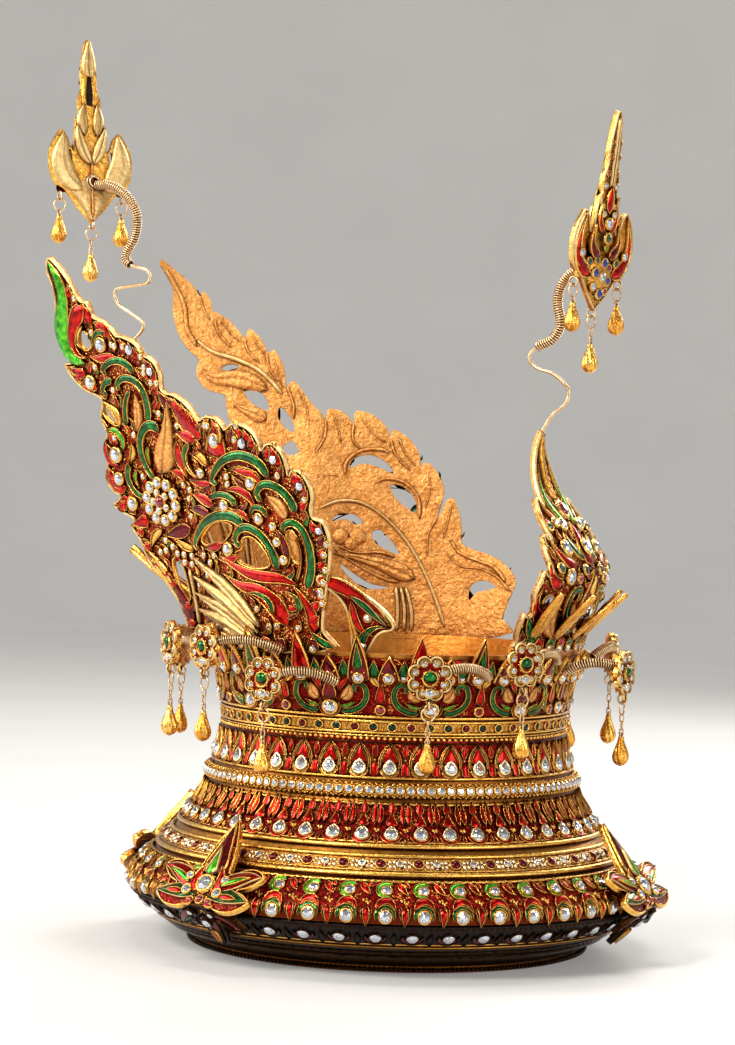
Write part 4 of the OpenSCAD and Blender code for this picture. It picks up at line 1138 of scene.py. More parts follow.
def wing_ornament():
    m = Motif()

    def C(pts, w, kind="leaf", n=12, rim=0.7, hb=0.0, hr=1.3, he=0.55, dome=0.45, gold="gilt", fill="red"):
        """Cell whose enamel is broad: the channels most of all."""
        grow = 1.42 if fill == "green" and kind == "scroll" else 1.22 if fill in ("red", "wine") else 1.0
        cell(m, pts, w * grow if np.isscalar(w) else w, kind, n, rim * (1.1 if grow > 1.3 else 0.9), hb, hr, he, dome, gold, fill)
    # tip: bright green flame with a red one inside it
    C([(166, 137), (176, 140.5), (181, 149), (180, 160), (177, 170), (179, 180), (185, 189.5)],
      np.array([0.3, 2.2, 3.6, 4.3, 4.6, 4.9, 5.3, 5.9, 6.3, 6.3, 6.0, 5.4, 4.8, 4.4, 4.2, 4.0, 3.6, 3.0, 2.3, 1.4, 0.5]), None, 21, 1.0, 0, 2.6, 1.2, 1.4, "gilt", "lime")
    C([(160, 165), (164.5, 163), (170, 157), (173, 149), (170, 142), (162, 139.5)], 4.2, "flame", 20, 0.7, 0.6, 2.4, 1.2, 0.9, "gilt", "red")
    C([(163, 156), (167, 153), (168.5, 148), (165, 144.5)], 1.3, "scroll", 12, 0.45, 1.0, 2.0, 1.0, 0.4, "gilt", "gilt")
    C([(156.5, 157), (159, 162), (162.5, 167)], 2.6, "leaf", 10, 0.7, 0.3, 2.0, 1.0, 0.6, "gilt", "red")
    # stones and scallops down from the tip
    gem(m, 151.5, 146.5, 3.1, 1.2, wall=0.8)
    C([(147, 149), (148.5, 152.5), (153, 152.5), (156.5, 149), (155.5, 144)], 1.3, "scroll", 14, 0.42, 0.6, 1.8, 0.8, 0.4, "gilt", "green")
    C([(143, 149), (147, 155), (155, 158)], 2.0, "leaf", 12, 0.6, 0.2, 2.0, 1.0, 0.6, "gilt", "red")
    C([(141, 141), (148, 140), (156, 139.5), (161, 141)], 2.0, "leaf", 12, 0.6, 0.2, 2.0, 1.0, 0.6, "gilt", "red")
    m.join(scallop(15, "red"), 129.5, 139.0, 8)
    m.join(scallop(13, "red", "crystal", 2.2), 116.5, 129.0, 18)
    C([(106, 113.5), (109, 119), (113, 124)], 2.3, "leaf", 10, 0.5, 0.2, 2.0, 1.0, 0.6, "gilt", "wine")
    # green channels of the upper part
    C([(128, 132.5), (134, 137), (141, 138.6), (148, 137), (152.5, 133.5), (149, 131.5)], 1.75, "scroll", 26, 0.5, 0.5, 2.0, 0.9, 0.5, "gilt", "green")
    C([(122.5, 107), (121.5, 116), (124, 124.5), (131, 129.3), (139, 129.3), (143, 125.5), (140, 123.5)], 1.9, "scroll", 32, 0.55, 0.5, 2.0, 0.9, 0.5, "gilt", "green")
    C([(146, 129), (152, 127), (154.5, 123), (150.5, 121.5)], 1.5, "scroll", 16, 0.45, 0.5, 1.9, 0.9, 0.5, "gilt", "green")
    C([(139.5, 106), (139, 113), (136.5, 120), (133, 123.5)], 1.5, "scroll", 18, 0.45, 0.5, 1.9, 0.9, 0.5, "gilt", "green")
    rib_leaf(m, [(131.5, 103), (130, 112), (130, 122)], 3.3, "leaf", 14, 0.2, 1.8, "matte", 4)
    rib_leaf(m, [(145, 105), (147, 111), (155, 118)], 3.0, "leaf", 12, 0.2, 1.7, "gilt", 4)
    gem(m, 163.5, 127.5, 2.8, 1.2, wall=0.9)
    C([(158, 124.5), (166, 124.5), (173, 128.5)], 1.7, "leaf", 12, 0.5, 0.2, 2.0, 0.9, 0.5, "gilt", "red")
    C([(166, 131.5), (173, 132.5), (181.5, 136)], 2.4, "flame", 12, 0.6, 0.2, 2.2, 1.0, 0.6, "gilt", "red")
    # hook scroll over the flower
    C([(114.5, 103.5), (118.5, 106.3), (124.5, 105.5), (129.6, 100), (130.4, 92), (127, 84), (122.5, 79)], 2.0, "scroll", 34, 0.55, 0.7, 2.2, 1.0, 0.6, "gilt", "green")
    C([(124, 96), (126, 92), (124.5, 86)], 1.3, "leaf", 10, 0.4, 0.6, 1.9, 1.0, 0.4, "gilt", "lime")
    # brown-gold ribbed leaf and the red leaves beside it
    rib_leaf(m, [(116.5, 82), (114, 92), (109.5, 104), (106, 118.5)], 7.6, "flame", 18, 0.1, 2.4, "matte", 7)
    C([(81, 101), (90, 107), (98, 112.5), (105, 120)], 5.2, "leaf", 18, 0.9, 0.0, 2.4, 1.0, 0.9, "gilt", "red")
    C([(86, 99.5), (94, 101.5), (102.5, 103)], 2.7, "leaf", 14, 0.6, 0.2, 2.2, 1.0, 0.7, "gilt", "red")
    C([(103, 99), (102.5, 90), (97, 80.5)], 2.6, "leaf", 14, 0.6, 0.2, 2.1, 1.0, 0.6, "gilt", "red")
    C([(91, 98.5), (96.5, 93), (95, 86.5), (88, 82.2), (83, 83)], 2.1, "flame", 18, 0.6, 0.8, 2.4, 1.1, 0.7, "gilt", "green")
    C([(78, 88), (84, 92), (90, 92.5)], 2.6, "leaf", 12, 0.7, 0.2, 1.9, 0.9, 0.5, "gilt", "gilt")
    gem(m, 84.5, 84.0, 1.9, 1.4, wall=0.7)
    C([(77, 79.5), (86, 78.5), (95, 79.5)], 1.6, "leaf", 12, 0.4, 0.2, 1.8, 0.9, 0.4, "gilt", "red")
    # right edge stones in red and green leaves
    gem(m, 150.5, 91.0, 3.2, 1.4, wall=0.9)
    C([(144.5, 93), (144, 98), (149, 103.5), (156, 103)], 2.1, "leaf", 14, 0.5, 0.3, 2.0, 1.0, 0.6, "gilt", "lime")
    C([(157, 99), (159, 94), (156.5, 87), (149, 85.5)], 1.7, "leaf", 14, 0.5, 0.3, 2.0, 1.0, 0.5, "gilt", "red")
    C([(137, 97), (137, 92), (141, 87)], 2.2, "leaf", 10, 0.6, 0.3, 2.0, 1.0, 0.6, "gilt", "gilt")
    C([(141.5, 87), (143.5, 80), (140, 73), (132.5, 69.5)], 1.6, "scroll", 20, 0.48, 0.5, 2.0, 0.9, 0.5, "gilt", "green")
    C([(136, 84), (138, 79), (135, 75)], 1.3, "leaf", 10, 0.4, 0.5, 1.8, 0.9, 0.4, "gilt", "lime")
    C([(146, 74.5), (153, 74), (159.5, 80), (157.5, 85)], 3.0, "leaf", 14, 0.6, 0.1, 1.9, 0.9, 0.6, "gilt", "red")
    gem(m, 150.0, 79.0, 2.7, 1.8, wall=0.7)
    C([(145, 69), (152, 66), (158, 65)], 2.6, "flame", 12, 0.5, 0.1, 1.9, 0.9, 0.6, "gilt", "red")
    gem(m, 142.5, 66.5, 2.7, 1.5, wall=0.9)
    C([(132, 58.5), (140, 56.5), (147, 55)], 3.0, "flame", 14, 0.6, 0.1, 2.0, 0.9, 0.7, "gilt", "red")
    # flower of ten stones
    for k in range(10):
        a = 2 * pi * k / 10 + 0.2
        gem(m, 119 + 10.6 * cos(a), 68.5 + 9.4 * sin(a), 2.35, 2.2, wall=0.75)
        C([(119 + 4.5 * cos(a + 0.31), 68.5 + 4.2 * sin(a + 0.31)), (119 + 9 * cos(a + 0.31), 68.5 + 8 * sin(a + 0.31)), (119 + 14.6 * cos(a + 0.31), 68.5 + 13 * sin(a + 0.31))],
          1.9, "leaf", 9, 0.4, 0.6, 2.0, 1.1, 0.5, "gilt", "wine")
    for k in range(5):
        a = 2 * pi * k / 5
        gem(m, 119 + 5.1 * cos(a), 68.5 + 4.8 * sin(a), 1.5, 3.0, wall=0.55)
    v, fs = dome_mesh(3.1, 2.4, 14, 4)
    m.part("ruby").add(v + np.array([119, 68.5, 3.0]), fs)
    P = cup_mesh(3.1, 0.7, 1.5, 16) + np.array([119, 68.5, 2.4])
    m.part("gilt").add(P.reshape(-1, 3), grid_faces(P.shape[0], P.shape[1], False, True), True, True)
    C([(100, 78), (103, 82.5), (110, 84)], 1.8, "leaf", 10, 0.45, 0.4, 1.9, 0.9, 0.5, "gilt", "red")
    # scallops with stones along the front edge
    m.join(scallop(17, "red", r=3.0), 71.0, 94.5, 6)
    m.join(scallop(15, "green", r=2.5), 50.5, 94.5, 12)
    m.join(scallop(14, "red", r=2.2), 30.5, 87.5, 20)
    m.join(scallop(13, "wine", r=2.1), 15.5, 75.5, 24)
    m.join(scallop(11, "wine", r=1.9), 6.0, 55.0, 18)
    # S-scrolls of the middle
    C([(33, 84), (41, 91), (53, 93.7), (65, 91), (73, 85), (75.5, 80.5), (70.5, 79.5)], 2.1, "scroll", 36, 0.6, 0.6, 2.2, 1.0, 0.6, "gilt", "green")
    C([(38, 83), (46, 87), (56, 88), (62, 86)], 0.9, "scroll", 18, 0.3, 0.5, 1.5, 0.8, 0.3, "gilt", "gilt")
    gem(m, 46.5, 80.5, 2.5, 1.2, wall=0.8)
    C([(40, 78), (42.5, 84.5), (50, 85.5), (60, 87)], 1.8, "leaf", 14, 0.45, 0.3, 1.9, 0.9, 0.5, "gilt", "red")
    C([(50, 78.5), (56, 81), (60, 84.5)], 1.4, "leaf", 10, 0.4, 0.3, 1.8, 0.9, 0.4, "gilt", "wine")
    C([(17.5, 67), (22, 74.5), (30, 79.5), (38, 80), (42.5, 75.5), (39, 71.8)], 2.0, "scroll", 28, 0.58, 0.6, 2.2, 1.0, 0.6, "gilt", "green")
    rib_leaf(m, [(24, 64), (29, 70), (36, 75)], 3.6, "leaf", 12, 0.2, 1.8, "matte", 4)
    C([(44, 68.5), (49, 74.5), (57, 77.2), (66, 76.5)], 1.8, "leaf", 14, 0.5, 0.2, 2.0, 0.9, 0.5, "gilt", "red")
    C([(57, 69.5), (63, 73.5), (71, 74.2), (79, 72)], 1.5, "scroll", 18, 0.45, 0.6, 2.1, 1.0, 0.5, "gilt", "green")
    gem(m, 67.5, 69.0, 2.3, 1.3, wall=0.8)
    C([(76, 68.5), (84, 71), (94, 73.5)], 2.4, "leaf", 14, 0.5, 0.2, 1.9, 0.9, 0.6, "gilt", "red")
    C([(80, 64.5), (90, 65.5), (99, 65.5)], 2.2, "leaf", 14, 0.5, 0.2, 1.9, 0.9, 0.6, "gilt", "wine")
    C([(36, 65), (39.5, 68.5), (45.5, 69), (48, 65)], 1.3, "scroll", 14, 0.42, 0.6, 1.9, 0.9, 0.4, "gilt", "green")
    gem(m, 42.5, 63.8, 2.1, 1.2, wall=0.7)
    C([(49, 62), (54, 66), (61, 67)], 1.3, "leaf", 10, 0.4, 0.4, 1.8, 0.9, 0.4, "gilt", "red")
    # lower scrolls
    C([(15, 31), (11.8, 40), (11.6, 50), (14.5, 58.5), (20.5, 62.5), (26.5, 60.5), (25.5, 57)], 1.95, "scroll", 36, 0.58, 0.6, 2.2, 1.0, 0.6, "gilt", "green")
    C([(21, 34), (18, 42), (17.5, 50), (20, 56)], 0.9, "scroll", 20, 0.3, 0.4, 1.6, 0.8, 0.3, "gilt", "gilt")
    C([(27, 40), (25.5, 47), (28, 55), (33, 60)], 1.9, "leaf", 14, 0.5, 0.2, 1.9, 0.9, 0.5, "gilt", "wine")
    gem(m, 27.5, 44.5, 1.7, 1.6, wall=0.65)
    gem(m, 31.0, 53.0, 1.7, 1.6, wall=0.65)
    gem(m, 33.0, 60.5, 1.5, 1.6, wall=0.6)
    C([(31.5, 39.5), (34.5, 48), (41, 55.5), (50, 59.2), (57.5, 57.5), (60.5, 52), (55.5, 50)], 2.0, "scroll", 34, 0.58, 0.6, 2.2, 1.0, 0.6, "gilt", "green")
    C([(52.5, 60.5), (62, 64), (73, 63.8), (84, 60), (92.5, 53.5), (97, 47.5), (92.5, 46.2)], 2.1, "scroll", 36, 0.6, 0.6, 2.2, 1.0, 0.6, "gilt", "green")
    C([(54, 65.5), (66, 68), (78, 66.5)], 0.8, "band", 16, 0.3, 0.4, 1.5, 0.8, 0.3, "gilt", "gilt")
    gem(m, 67.0, 48.0, 2.6, 1.3, wall=0.9)
    C([(59, 45.5), (66, 42.8), (76, 43)], 1.8, "leaf", 12, 0.45, 0.3, 1.9, 0.9, 0.5, "gilt", "red")
    C([(71, 50.5), (79, 48), (88, 47)], 1.9, "leaf", 12, 0.5, 0.3, 1.9, 0.9, 0.5, "gilt", "red")
    C([(99, 44.5), (107, 46.5), (114, 50)], 2.2, "leaf", 12, 0.6, 0.2, 1.9, 0.9, 0.5, "gilt", "gilt")
    C([(100, 56), (109, 53.5), (120, 51)], 3.0, "leaf", 14, 0.6, 0.2, 1.9, 0.9, 0.6, "gilt", "wine")
    C([(122, 54), (129, 50.5), (133, 44)], 2.4, "leaf", 12, 0.6, 0.2, 1.9, 0.9, 0.5, "gilt", "gilt")
    # foot: red flame leaves with a green one, a fan of plain ribs, dark leaf
    C([(3.5, 8), (5, 20), (9, 30), (10, 42)], 2.9, "flame", 18, 0.7, 0.0, 2.2, 1.0, 0.7, "gilt", "red")
    C([(13, 10), (14.5, 20), (20, 29), (24, 33)], 2.9, "flame", 16, 0.7, 0.0, 2.2, 1.0, 0.7, "gilt", "red")
    C([(20, 32.5), (30, 35.5), (42, 36), (52, 37), (64, 40.5), (74, 44.5)], 2.4, "leaf", 24, 0.7, 0.2, 2.3, 1.0, 0.6, "gilt", "red")
    C([(28, 13), (34, 21), (46, 28.5), (60, 31), (73, 36)], 4.6, "flame", 24, 0.8, 0.0, 2.0, 0.9, 0.8, "gilt", "red")
    C([(35.5, 18), (38, 24.5), (46, 28), (56, 27.2)], 1.9, "flame", 16, 0.5, 1.4, 2.0, 1.0, 0.6, "gilt", "green")
    C([(19, 20), (22, 27), (28, 30)], 1.9, "flame", 12, 0.5, 0.8, 2.0, 1.0, 0.5, "gilt", "green")
    C([(3, 3), (9, 5.5), (15, 11)], 2.0, "leaf", 10, 0.5, 0.8, 1.9, 0.9, 0.5, "gilt", "green")
    for k, (a, b) in enumerate((((46, 12), (98, 41)), ((47, 9), (102, 32)), ((48, 6.5), (103, 23.5)), ((49, 4), (101, 15.5)), ((60, 3), (97, 8)))):
        mid = ((a[0] + b[0]) / 2 - 1, (a[1] + b[1]) / 2 + 2.2)
        rib_leaf(m, [a, mid, b], 4.0, "leaf", 16, 0.3, 2.6, "fan", 6, groove=k % 2 == 0)
    C([(108.5, 6), (112, 16), (119, 27), (127, 36)], 3.4, "flame", 16, 0.7, 0.1, 2.2, 1.0, 0.7, "gilt", "wine")
    rib_leaf(m, [(119, 24), (127, 33), (135, 43)], 3.4, "leaf", 14, 0.2, 1.8, "gilt", 5)
    cord_line(m, [(103.5, 6), (104, 20), (106, 36)], 1.3, 16, 0.2, 2.0, "pale")
    for k, x in enumerate(np.arange(5, 102, 9.2)):
        C([(x - 3, 1.5), (x, 6.5), (x + 3.2, 2.5)], 1.7, "leaf", 10, 0.45, 1.2, 2.0, 1.0, 0.5, "gilt", "wine" if k % 2 else "red")
        gem(m, x, 2.6, 1.5, 1.6, wall=0.6)
    return m


def inner_ornament():
    """Ribs of the plain inner face."""
    m = Motif()
    L = lambda pts, w=0.9, h=0.9, key="matte", n=26, kind="scroll": cord_line(m, pts, w, n, 0.0, h, key, kind)
    L([(27, 5), (32, 19), (39, 34), (49, 50), (61, 62), (74, 69.5), (87, 69.5), (98, 64)], 1.15, 1.3, "pale", 40)
    L([(118, 125), (124, 132), (133, 139), (145, 144), (157, 147.5), (166, 154)], 1.3, 1.6, "pale", 34)
    L([(60, 97), (66, 98.5), (76, 97), (83, 91), (83.5, 84)], 1.0, 1.1)
    L([(43, 62), (44, 73), (51, 81), (61, 83), (68, 80)], 0.9, 1.0)
    L([(-5, 29), (2, 37), (12, 41), (21, 45), (26, 52)], 1.0, 1.2)
    L([(-7, 24), (0, 32), (10, 36.5), (20, 38), (28, 45)], 0.8, 0.9)
    L([(52, 29), (60, 30), (72, 35), (82, 40.5), (88, 45)], 0.9, 1.0)
    L([(55, 42), (64, 44), (76, 43), (86, 46)], 0.8, 0.9)
    L([(165, 150), (171, 160), (173, 172), (179, 184), (185, 193)], 1.2, 1.2)
    L([(159, 165), (163, 171), (165, 178)], 0.7, 0.8)
    for a, b, c in (((33.5, 64), (38, 54), (38, 43)), ((44, 86), (50, 76.5), (50, 66)), ((60.5, 105), (57, 96), (49, 88)),
                    ((80, 112), (80, 103), (76, 98)), ((95, 113), (95, 104), (100, 94)), ((116, 130), (112, 120), (112, 112)),
                    ((128, 149), (126, 140), (121, 132)), ((140, 156), (138, 149), (131, 142)), ((157, 166), (154, 158), (147, 150))):
        L([a, b, c], 0.75, 1.1, "matte", 16)
    for a, b, c in (((26, 71), (28, 60), (30, 52)), ((39, 88), (38, 78), (40, 68)), ((56, 106), (52, 97), (46, 90)), ((76, 115), (70, 107), (62, 102)),
                    ((91, 116), (88, 108), (86, 100)), ((110, 129), (105, 119), (103, 108)), ((124, 145), (121, 137), (118, 129)),
                    ((136, 158), (132, 151), (127, 145)), ((154, 167), (149, 160), (142, 153)), ((92, 84), (92, 76), (94, 70)), ((87, 83), (92, 83.5), (96, 82))):
        L([a, b, c], 0.45, 0.6, "matte", 12)
    # club-ended leaf and the big plain leaf under it
    for x, y, r in ((81, 57, 5.2), (75.5, 51.5, 4.6), (84.5, 51, 4.4), (79, 47.5, 3.6)):
        v, fs = dome_mesh(r, 1.5, 18, 4)
        m.part("matte").add(v + np.array([x, y, 0]), fs)
    rib_leaf(m, [(44, 31), (60, 37), (76, 40.5), (88, 42)], 4.6, "flame", 18, 0.0, 1.5, "matte", 6)
    rib_leaf(m, [(126, 112), (134, 115), (144, 119)], 4.2, "flame", 14, 0.0, 1.3, "matte", 4)
    rib_leaf(m, [(126, 128), (140, 133), (155, 133), (162, 137)], 5.0, "leaf", 16, 0.0, 1.4, "matte", 6)
    rib_leaf(m, [(165, 146), (172, 158), (174, 172), (181, 187)], np.array([1, 3, 4.4, 5, 5.2, 5.2, 5, 4.6, 4, 3.4, 2.8, 2.2, 1.6, 1]), None, 14, 0.0, 1.2, "matte", 5)
    rib_leaf(m, [(4, 6), (9, 14), (13, 26)], 4.4, "flame", 12, 0.0, 1.2, "matte", 4)
    for k in range(3):
        cord_line(m, [(45 + 4 * k, 3), (45.5 + 3.6 * k, 14), (49 + 2.6 * k, 27)], 1.1, 16, 0.0, 1.4, "pale")
    rib_leaf(m, [(104, 60), (118, 74), (124, 92)], 7.0, "flame", 16, 0.0, 1.4, "matte", 6)
    rib_leaf(m, [(130, 66), (142, 78), (148, 94)], 6.0, "flame", 16, 0.0, 1.4, "matte", 6)
    rib_leaf(m, [(96, 20), (110, 34), (128, 48)], 6.0, "flame", 16, 0.0, 1.4, "matte", 6)
    return m


def part_inside(m, outline, holes=(), slack=0.8, hole_slack=1.6, share=0.06, margin=0.0):
    """Keeps only those members of a motif that lie on the plate, face group by face group."""
    poly = np.asarray(outline, float)
    out = Motif()
    for key, mesh in m.parts.items():
        base = 0
        starts = np.cumsum([0] + [len(v) for v in mesh.v])
        for v, (s, e) in zip(mesh.v, zip(starts[:-1], starts[1:])):
            q = v[:, :2]
            bad = (~inside(poly, q)) & (seg_dist(poly, q) > slack)
            if margin:
                bad |= seg_dist(poly, q) < margin
            for h in holes:
                hp = np.asarray(h, float)
                bad |= inside(hp, q) & (seg_dist(hp, q) > hole_slack)
            if bad.mean() > share:
                continue
            dst = out.part(key)
            b = dst.n
            dst.v.append(v)
            dst.n += len(v)
            for g, sm in mesh.f:
                sel = (g.min(1) >= s) & (g.max(1) < e)
                if sel.any():
                    dst.f.append((g[sel] - s + b, sm))
    return out


def edge_rim(m, poly, w, h, key, hb=0.0, inset=0.0):
    """Raised line that follows a closed outline, just inside it."""
    p = np.asarray(poly, float)
    c = np.vstack([p, p[:1]])
    s = np.concatenate([[0], np.cumsum(np.linalg.norm(np.diff(c, axis=0), axis=1))])
    n = max(24, int(s[-1] / 1.6))
    g = np.linspace(0, s[-1], n, endpoint=False)
    q = np.stack([np.interp(g, s, c[:, 0]), np.interp(g, s, c[:, 1])], 1)
    t = np.roll(q, -1, 0) - np.roll(q, 1, 0)
    t /= np.linalg.norm(t, axis=1, keepdims=True) + 1e-9
    L = np.stack([-t[:, 1], t[:, 0]], 1)
    area_ = 0.5 * np.sum(p[:, 0] * np.roll(p[:, 1], -1) - p[:, 1] * np.roll(p[:, 0], -1))
    sgn = 1 if area_ > 0 else -1
    mid = q + L * sgn * inset
    ks = [(-1, 0), (-0.85, 0.6), (-0.35, 1.0), (0.35, 1.0), (0.85, 0.6), (1, 0)]
    P = np.empty((n, len(ks), 3))
    for j, (a, b) in enumerate(ks):
        P[:, j, :2] = mid + L * a * w
        P[:, j, 2] = hb + b * h
    m.strip(key, P, wrap_u=True)


def points_of(m, low=0.9):
    """Plan points of a motif's raised members."""
    return np.concatenate([v[v[:, 2] > low][:, :2] for mesh in m.parts.values() for v in mesh.v])


def fill_ground(m, outline, holes, seed, step=4.4, clear=1.9):
    """Strews small red leaves, granules and a few stones over the ground that the motif leaves free."""
    g = np.random.default_rng(seed)
    out = Motif()
    taken = points_of(m)
    taken = taken[g.permutation(len(taken))[:30000]]
    lo, hi = outline.min(0), outline.max(0)
    gx, gy = np.meshgrid(np.arange(lo[0], hi[0], step), np.arange(lo[1], hi[1], step))
    q = np.stack([gx.ravel(), gy.ravel()], 1) + g.uniform(-0.35, 0.35, (gx.size, 2)) * step
    keep = inside(outline, q) & (seg_dist(outline, q) > 2.4)
    for h in holes:
        keep &= ~inside(h, q) & (seg_dist(h, q) > 2.2)
    q = q[keep]
    near = np.array([np.min(np.abs(taken - p).max(1)) for p in q])
    for p, d in zip(q, near):
        if d < 0.55:
            continue
        t = math.atan2(p[1] + 40, p[0] - 60) + g.uniform(-0.9, 0.9)
        if d < clear:
            for _ in range(3):
                bead(out, p[0] + g.uniform(-1, 1) * d * 0.6, p[1] + g.uniform(-1, 1) * d * 0.6, g.uniform(0.4, 0.75), 0.0, "gilt", n=6)
            continue
        L = min(2.2 * d, 4.2)
        a = (p[0] - cos(t) * L, p[1] - sin(t) * L)
        b = (p[0] + cos(t + 0.5) * L * 0.5 - sin(t) * 0.8, p[1] + sin(t + 0.5) * L * 0.5 + cos(t) * 0.8)
        c = (p[0] + cos(t) * L * 1.1, p[1] + sin(t) * L * 1.1)
        cell(out, [a, b, c], min(1.9, 0.75 * d), "flame", 10, 0.42, 0.0, 1.7, 0.9, 0.5, "gilt", ("red", "red", "wine", "red", "green")[g.integers(5)])
        if d > 2.6:
            gem(out, p[0] - sin(t) * 1.6, p[1] + cos(t) * 1.6, 1.25, 0.9, wall=0.5)
    return out


def edge_leaves(outline, keep, seed, pitch=6.6):
    """Small upright leaves side by side along an outline, their tips on it."""
    g = np.random.default_rng(seed)
    out = Motif()
    c = np.vstack([outline, outline[:1]])
    s = np.concatenate([[0], np.cumsum(np.linalg.norm(np.diff(c, axis=0), axis=1))])
    area_ = 0.5 * np.sum(outline[:, 0] * np.roll(outline[:, 1], -1) - outline[:, 1] * np.roll(outline[:, 0], -1))
    sgn = -1 if area_ > 0 else 1
    for k, d in enumerate(np.arange(pitch / 2, s[-1], pitch)):
        p = np.array([np.interp(d, s, c[:, 0]), np.interp(d, s, c[:, 1])])
        a = np.array([np.interp(d + 2.2, s, c[:, 0]), np.interp(d + 2.2, s, c[:, 1])]) - np.array([np.interp(d - 2.2, s, c[:, 0]), np.interp(d - 2.2, s, c[:, 1])])
        a /= np.linalg.norm(a) + 1e-9
        n_ = np.array([-a[1], a[0]]) * sgn
        if not keep(p):
            continue
        up_ = a * (1 if a[1] > 0 else -1)
        r0 = p - n_ * 6.0 - up_ * 3.0
        r1 = p - n_ * 3.4 + up_ * 0.3
        r2 = p - n_ * 1.5 + up_ * 1.7
        cell(out, [tuple(r0), tuple(r1), tuple(r2)], 2.7 + g.uniform(-0.2, 0.2), "ogive", 12, 0.6, 0.0, 2.3, 1.1, 0.8, "gilt", ("red", "wine", "red", "red")[k % 4])
    return out


FOOT = [(-1, 0), (6, 0), (9, 4), (12.5, 9), (19, 11), (19, 15), (14, 21), (6, 27), (-3, 32), (-15, 37), (-18, 33), (-9, 27), (-4, 20), (-2, 10)]


def foot_leaf(node):
    """Leaf at the left wing's front foot, on its own plane at 78 degrees from the front."""
    t, p = math.radians(78), math.radians(-12)
    er, ex, z = np.array([-sin(t), -cos(t), 0]), np.array([cos(t), -sin(t), 0]), np.array([0, 0, 1.0])
    n, ey = er * cos(p) + z * sin(p), -er * sin(p) + z * cos(p)
    O = er * 88 + z * 149.8
    flat = Surf(lambda x, y: O + np.asarray(x, float)[..., None] * ex + np.asarray(y, float)[..., None] * ey, 1)
    line_ = closed_curve(FOOT, 3)
    plate(node, line_, [], flat, "field", "matte", "gilt", 2.6, 0.0, 2.0, 0.8)
    m = Motif()
    edge_rim(m, line_, 0.85, 1.5, "pale", 2.2, 0.8)
    # red flame leaf with a white-gold edge, a green leaf inside it, a granular pillar beside the slot
    cell(m, [(-15, 34.5), (-5, 31), (5, 25.5), (12.5, 19.5), (18, 13)], 3.6, "flame", 22, 0.7, 2.3, 2.2, 1.1, 0.9, "gilt", "red")
    cell(m, [(-1, 27.5), (5.5, 23), (11, 17.8), (16.2, 13.6)], 1.7, "leaf", 18, 0.55, 3.9, 1.7, 0.9, 0.6, "pale", "green")
    cell(m, [(3, 3), (5.5, 9), (11.5, 12.6), (17.2, 12.2)], 2.2, "flame", 18, 0.6, 2.3, 2.0, 1.0, 0.6, "gilt", "green")
    cell(m, [(-1, 25), (0.6, 16), (4.4, 10), (9.6, 8.2)], 2.0, "leaf", 16, 0.55, 2.3, 2.0, 1.0, 0.6, "gilt", "red")
    rib_leaf(m, [(1.6, 0.5), (0.6, 6), (-1.2, 13), (-2.6, 21)], 1.9, "leaf", 16, 2.3, 1.8, "grain", 5)
    gem(m, 6.6, 16.6, 1.6, 2.6, wall=0.6)
    gem(m, 3.4, 3.0, 1.8, 2.6, wall=0.6)
    wrap(m, node, flat)
    m = Motif()
    rib_leaf(m, [(16, 13), (8, 20), (-3, 28), (-14, 34)], 3.6, "leaf", 18, 0.0, 0.9, "matte", 6)
    rib_leaf(m, [(3, 2), (1, 12), (-2, 22)], 2.6, "leaf", 12, 0.0, 0.8, "matte", 4)
    mm = Motif()
    mm.join(m, mirror=True)
    stamp(mm, node, tuple(np.array([q], float) for q in (O, -ex, ey, -n)))


outline_a, outline_b = closed_curve(OUT_A, 3), closed_curve(OUT_B, 3)
holes_a, holes_b = [closed_curve(h, 5) for h in HOLES_A], [closed_curve(h, 5) for h in HOLES_B]
for node, side_, outline, holes in (("wing_left", "left", outline_a, holes_a), ("wing_right", "right", outline_b, holes_b)):
    S = wing_surface(side_)
    outer = Surf(S, 1 if side_ == "right" else -1)
    inner = Inner(outer, 3.0)

    def back_relief(v, dist):
        return 0.25 * np.sin(v[:, 0] * 0.21 + 1.3 * np.sin(v[:, 1] * 0.11)) + 0.5 * np.clip(dist / 9, 0, 1)
    plate(node, outline, holes, outer, "ground", "matte", "matte", -0.5, -2.3, 2.6, 1.4, None, back_relief)
    orn = wing_ornament()
    orn = part_inside(orn, outline, holes) if side_ == "left" else part_inside(orn, outline, holes, 0.2, 1.6, 0.0, 1.1)
    orn.join(fill_ground(orn, outline, holes, 5 + len(outline), 4.7 if side_ == "left" else 6.4))
    rims = edge_leaves(outline, lambda p: p[1] > 3 and not (p[0] > 172 and p[1] > 140), 3)
    orn.join(part_inside(rims, outline, holes, 0.2, 0.8, 0.02))
    m = Motif()
    edge_rim(m, outline, 0.8, 1.6, "pale", -0.8, 0.7)
    for h in holes:
        edge_rim(m, h, 0.6, 1.3, "gilt", -0.8, -0.55)
    wrap(m, node, outer)
    wrap(orn, node, outer, -0.5)
    if side_ == "left":
        foot_leaf(node)
    rib = part_inside(inner_ornament(), outline, holes, 0.5, 0.9)
    wrap(rib, node, inner, -0.25)

# ---------------------------------------------------------------- flame leaves

FRONT_LEAN = [[0, 91], [16, 97], [32, 102], [40, 104], [48, 99], [56, 94], [66, 87], [75, 80], [86, 75.5], [98, 73], [110, 74.5]]
REAR_LEAN = [[0, 91], [20, 98], [40, 106], [70, 121], [100, 138], [130, 155], [150, 164]]


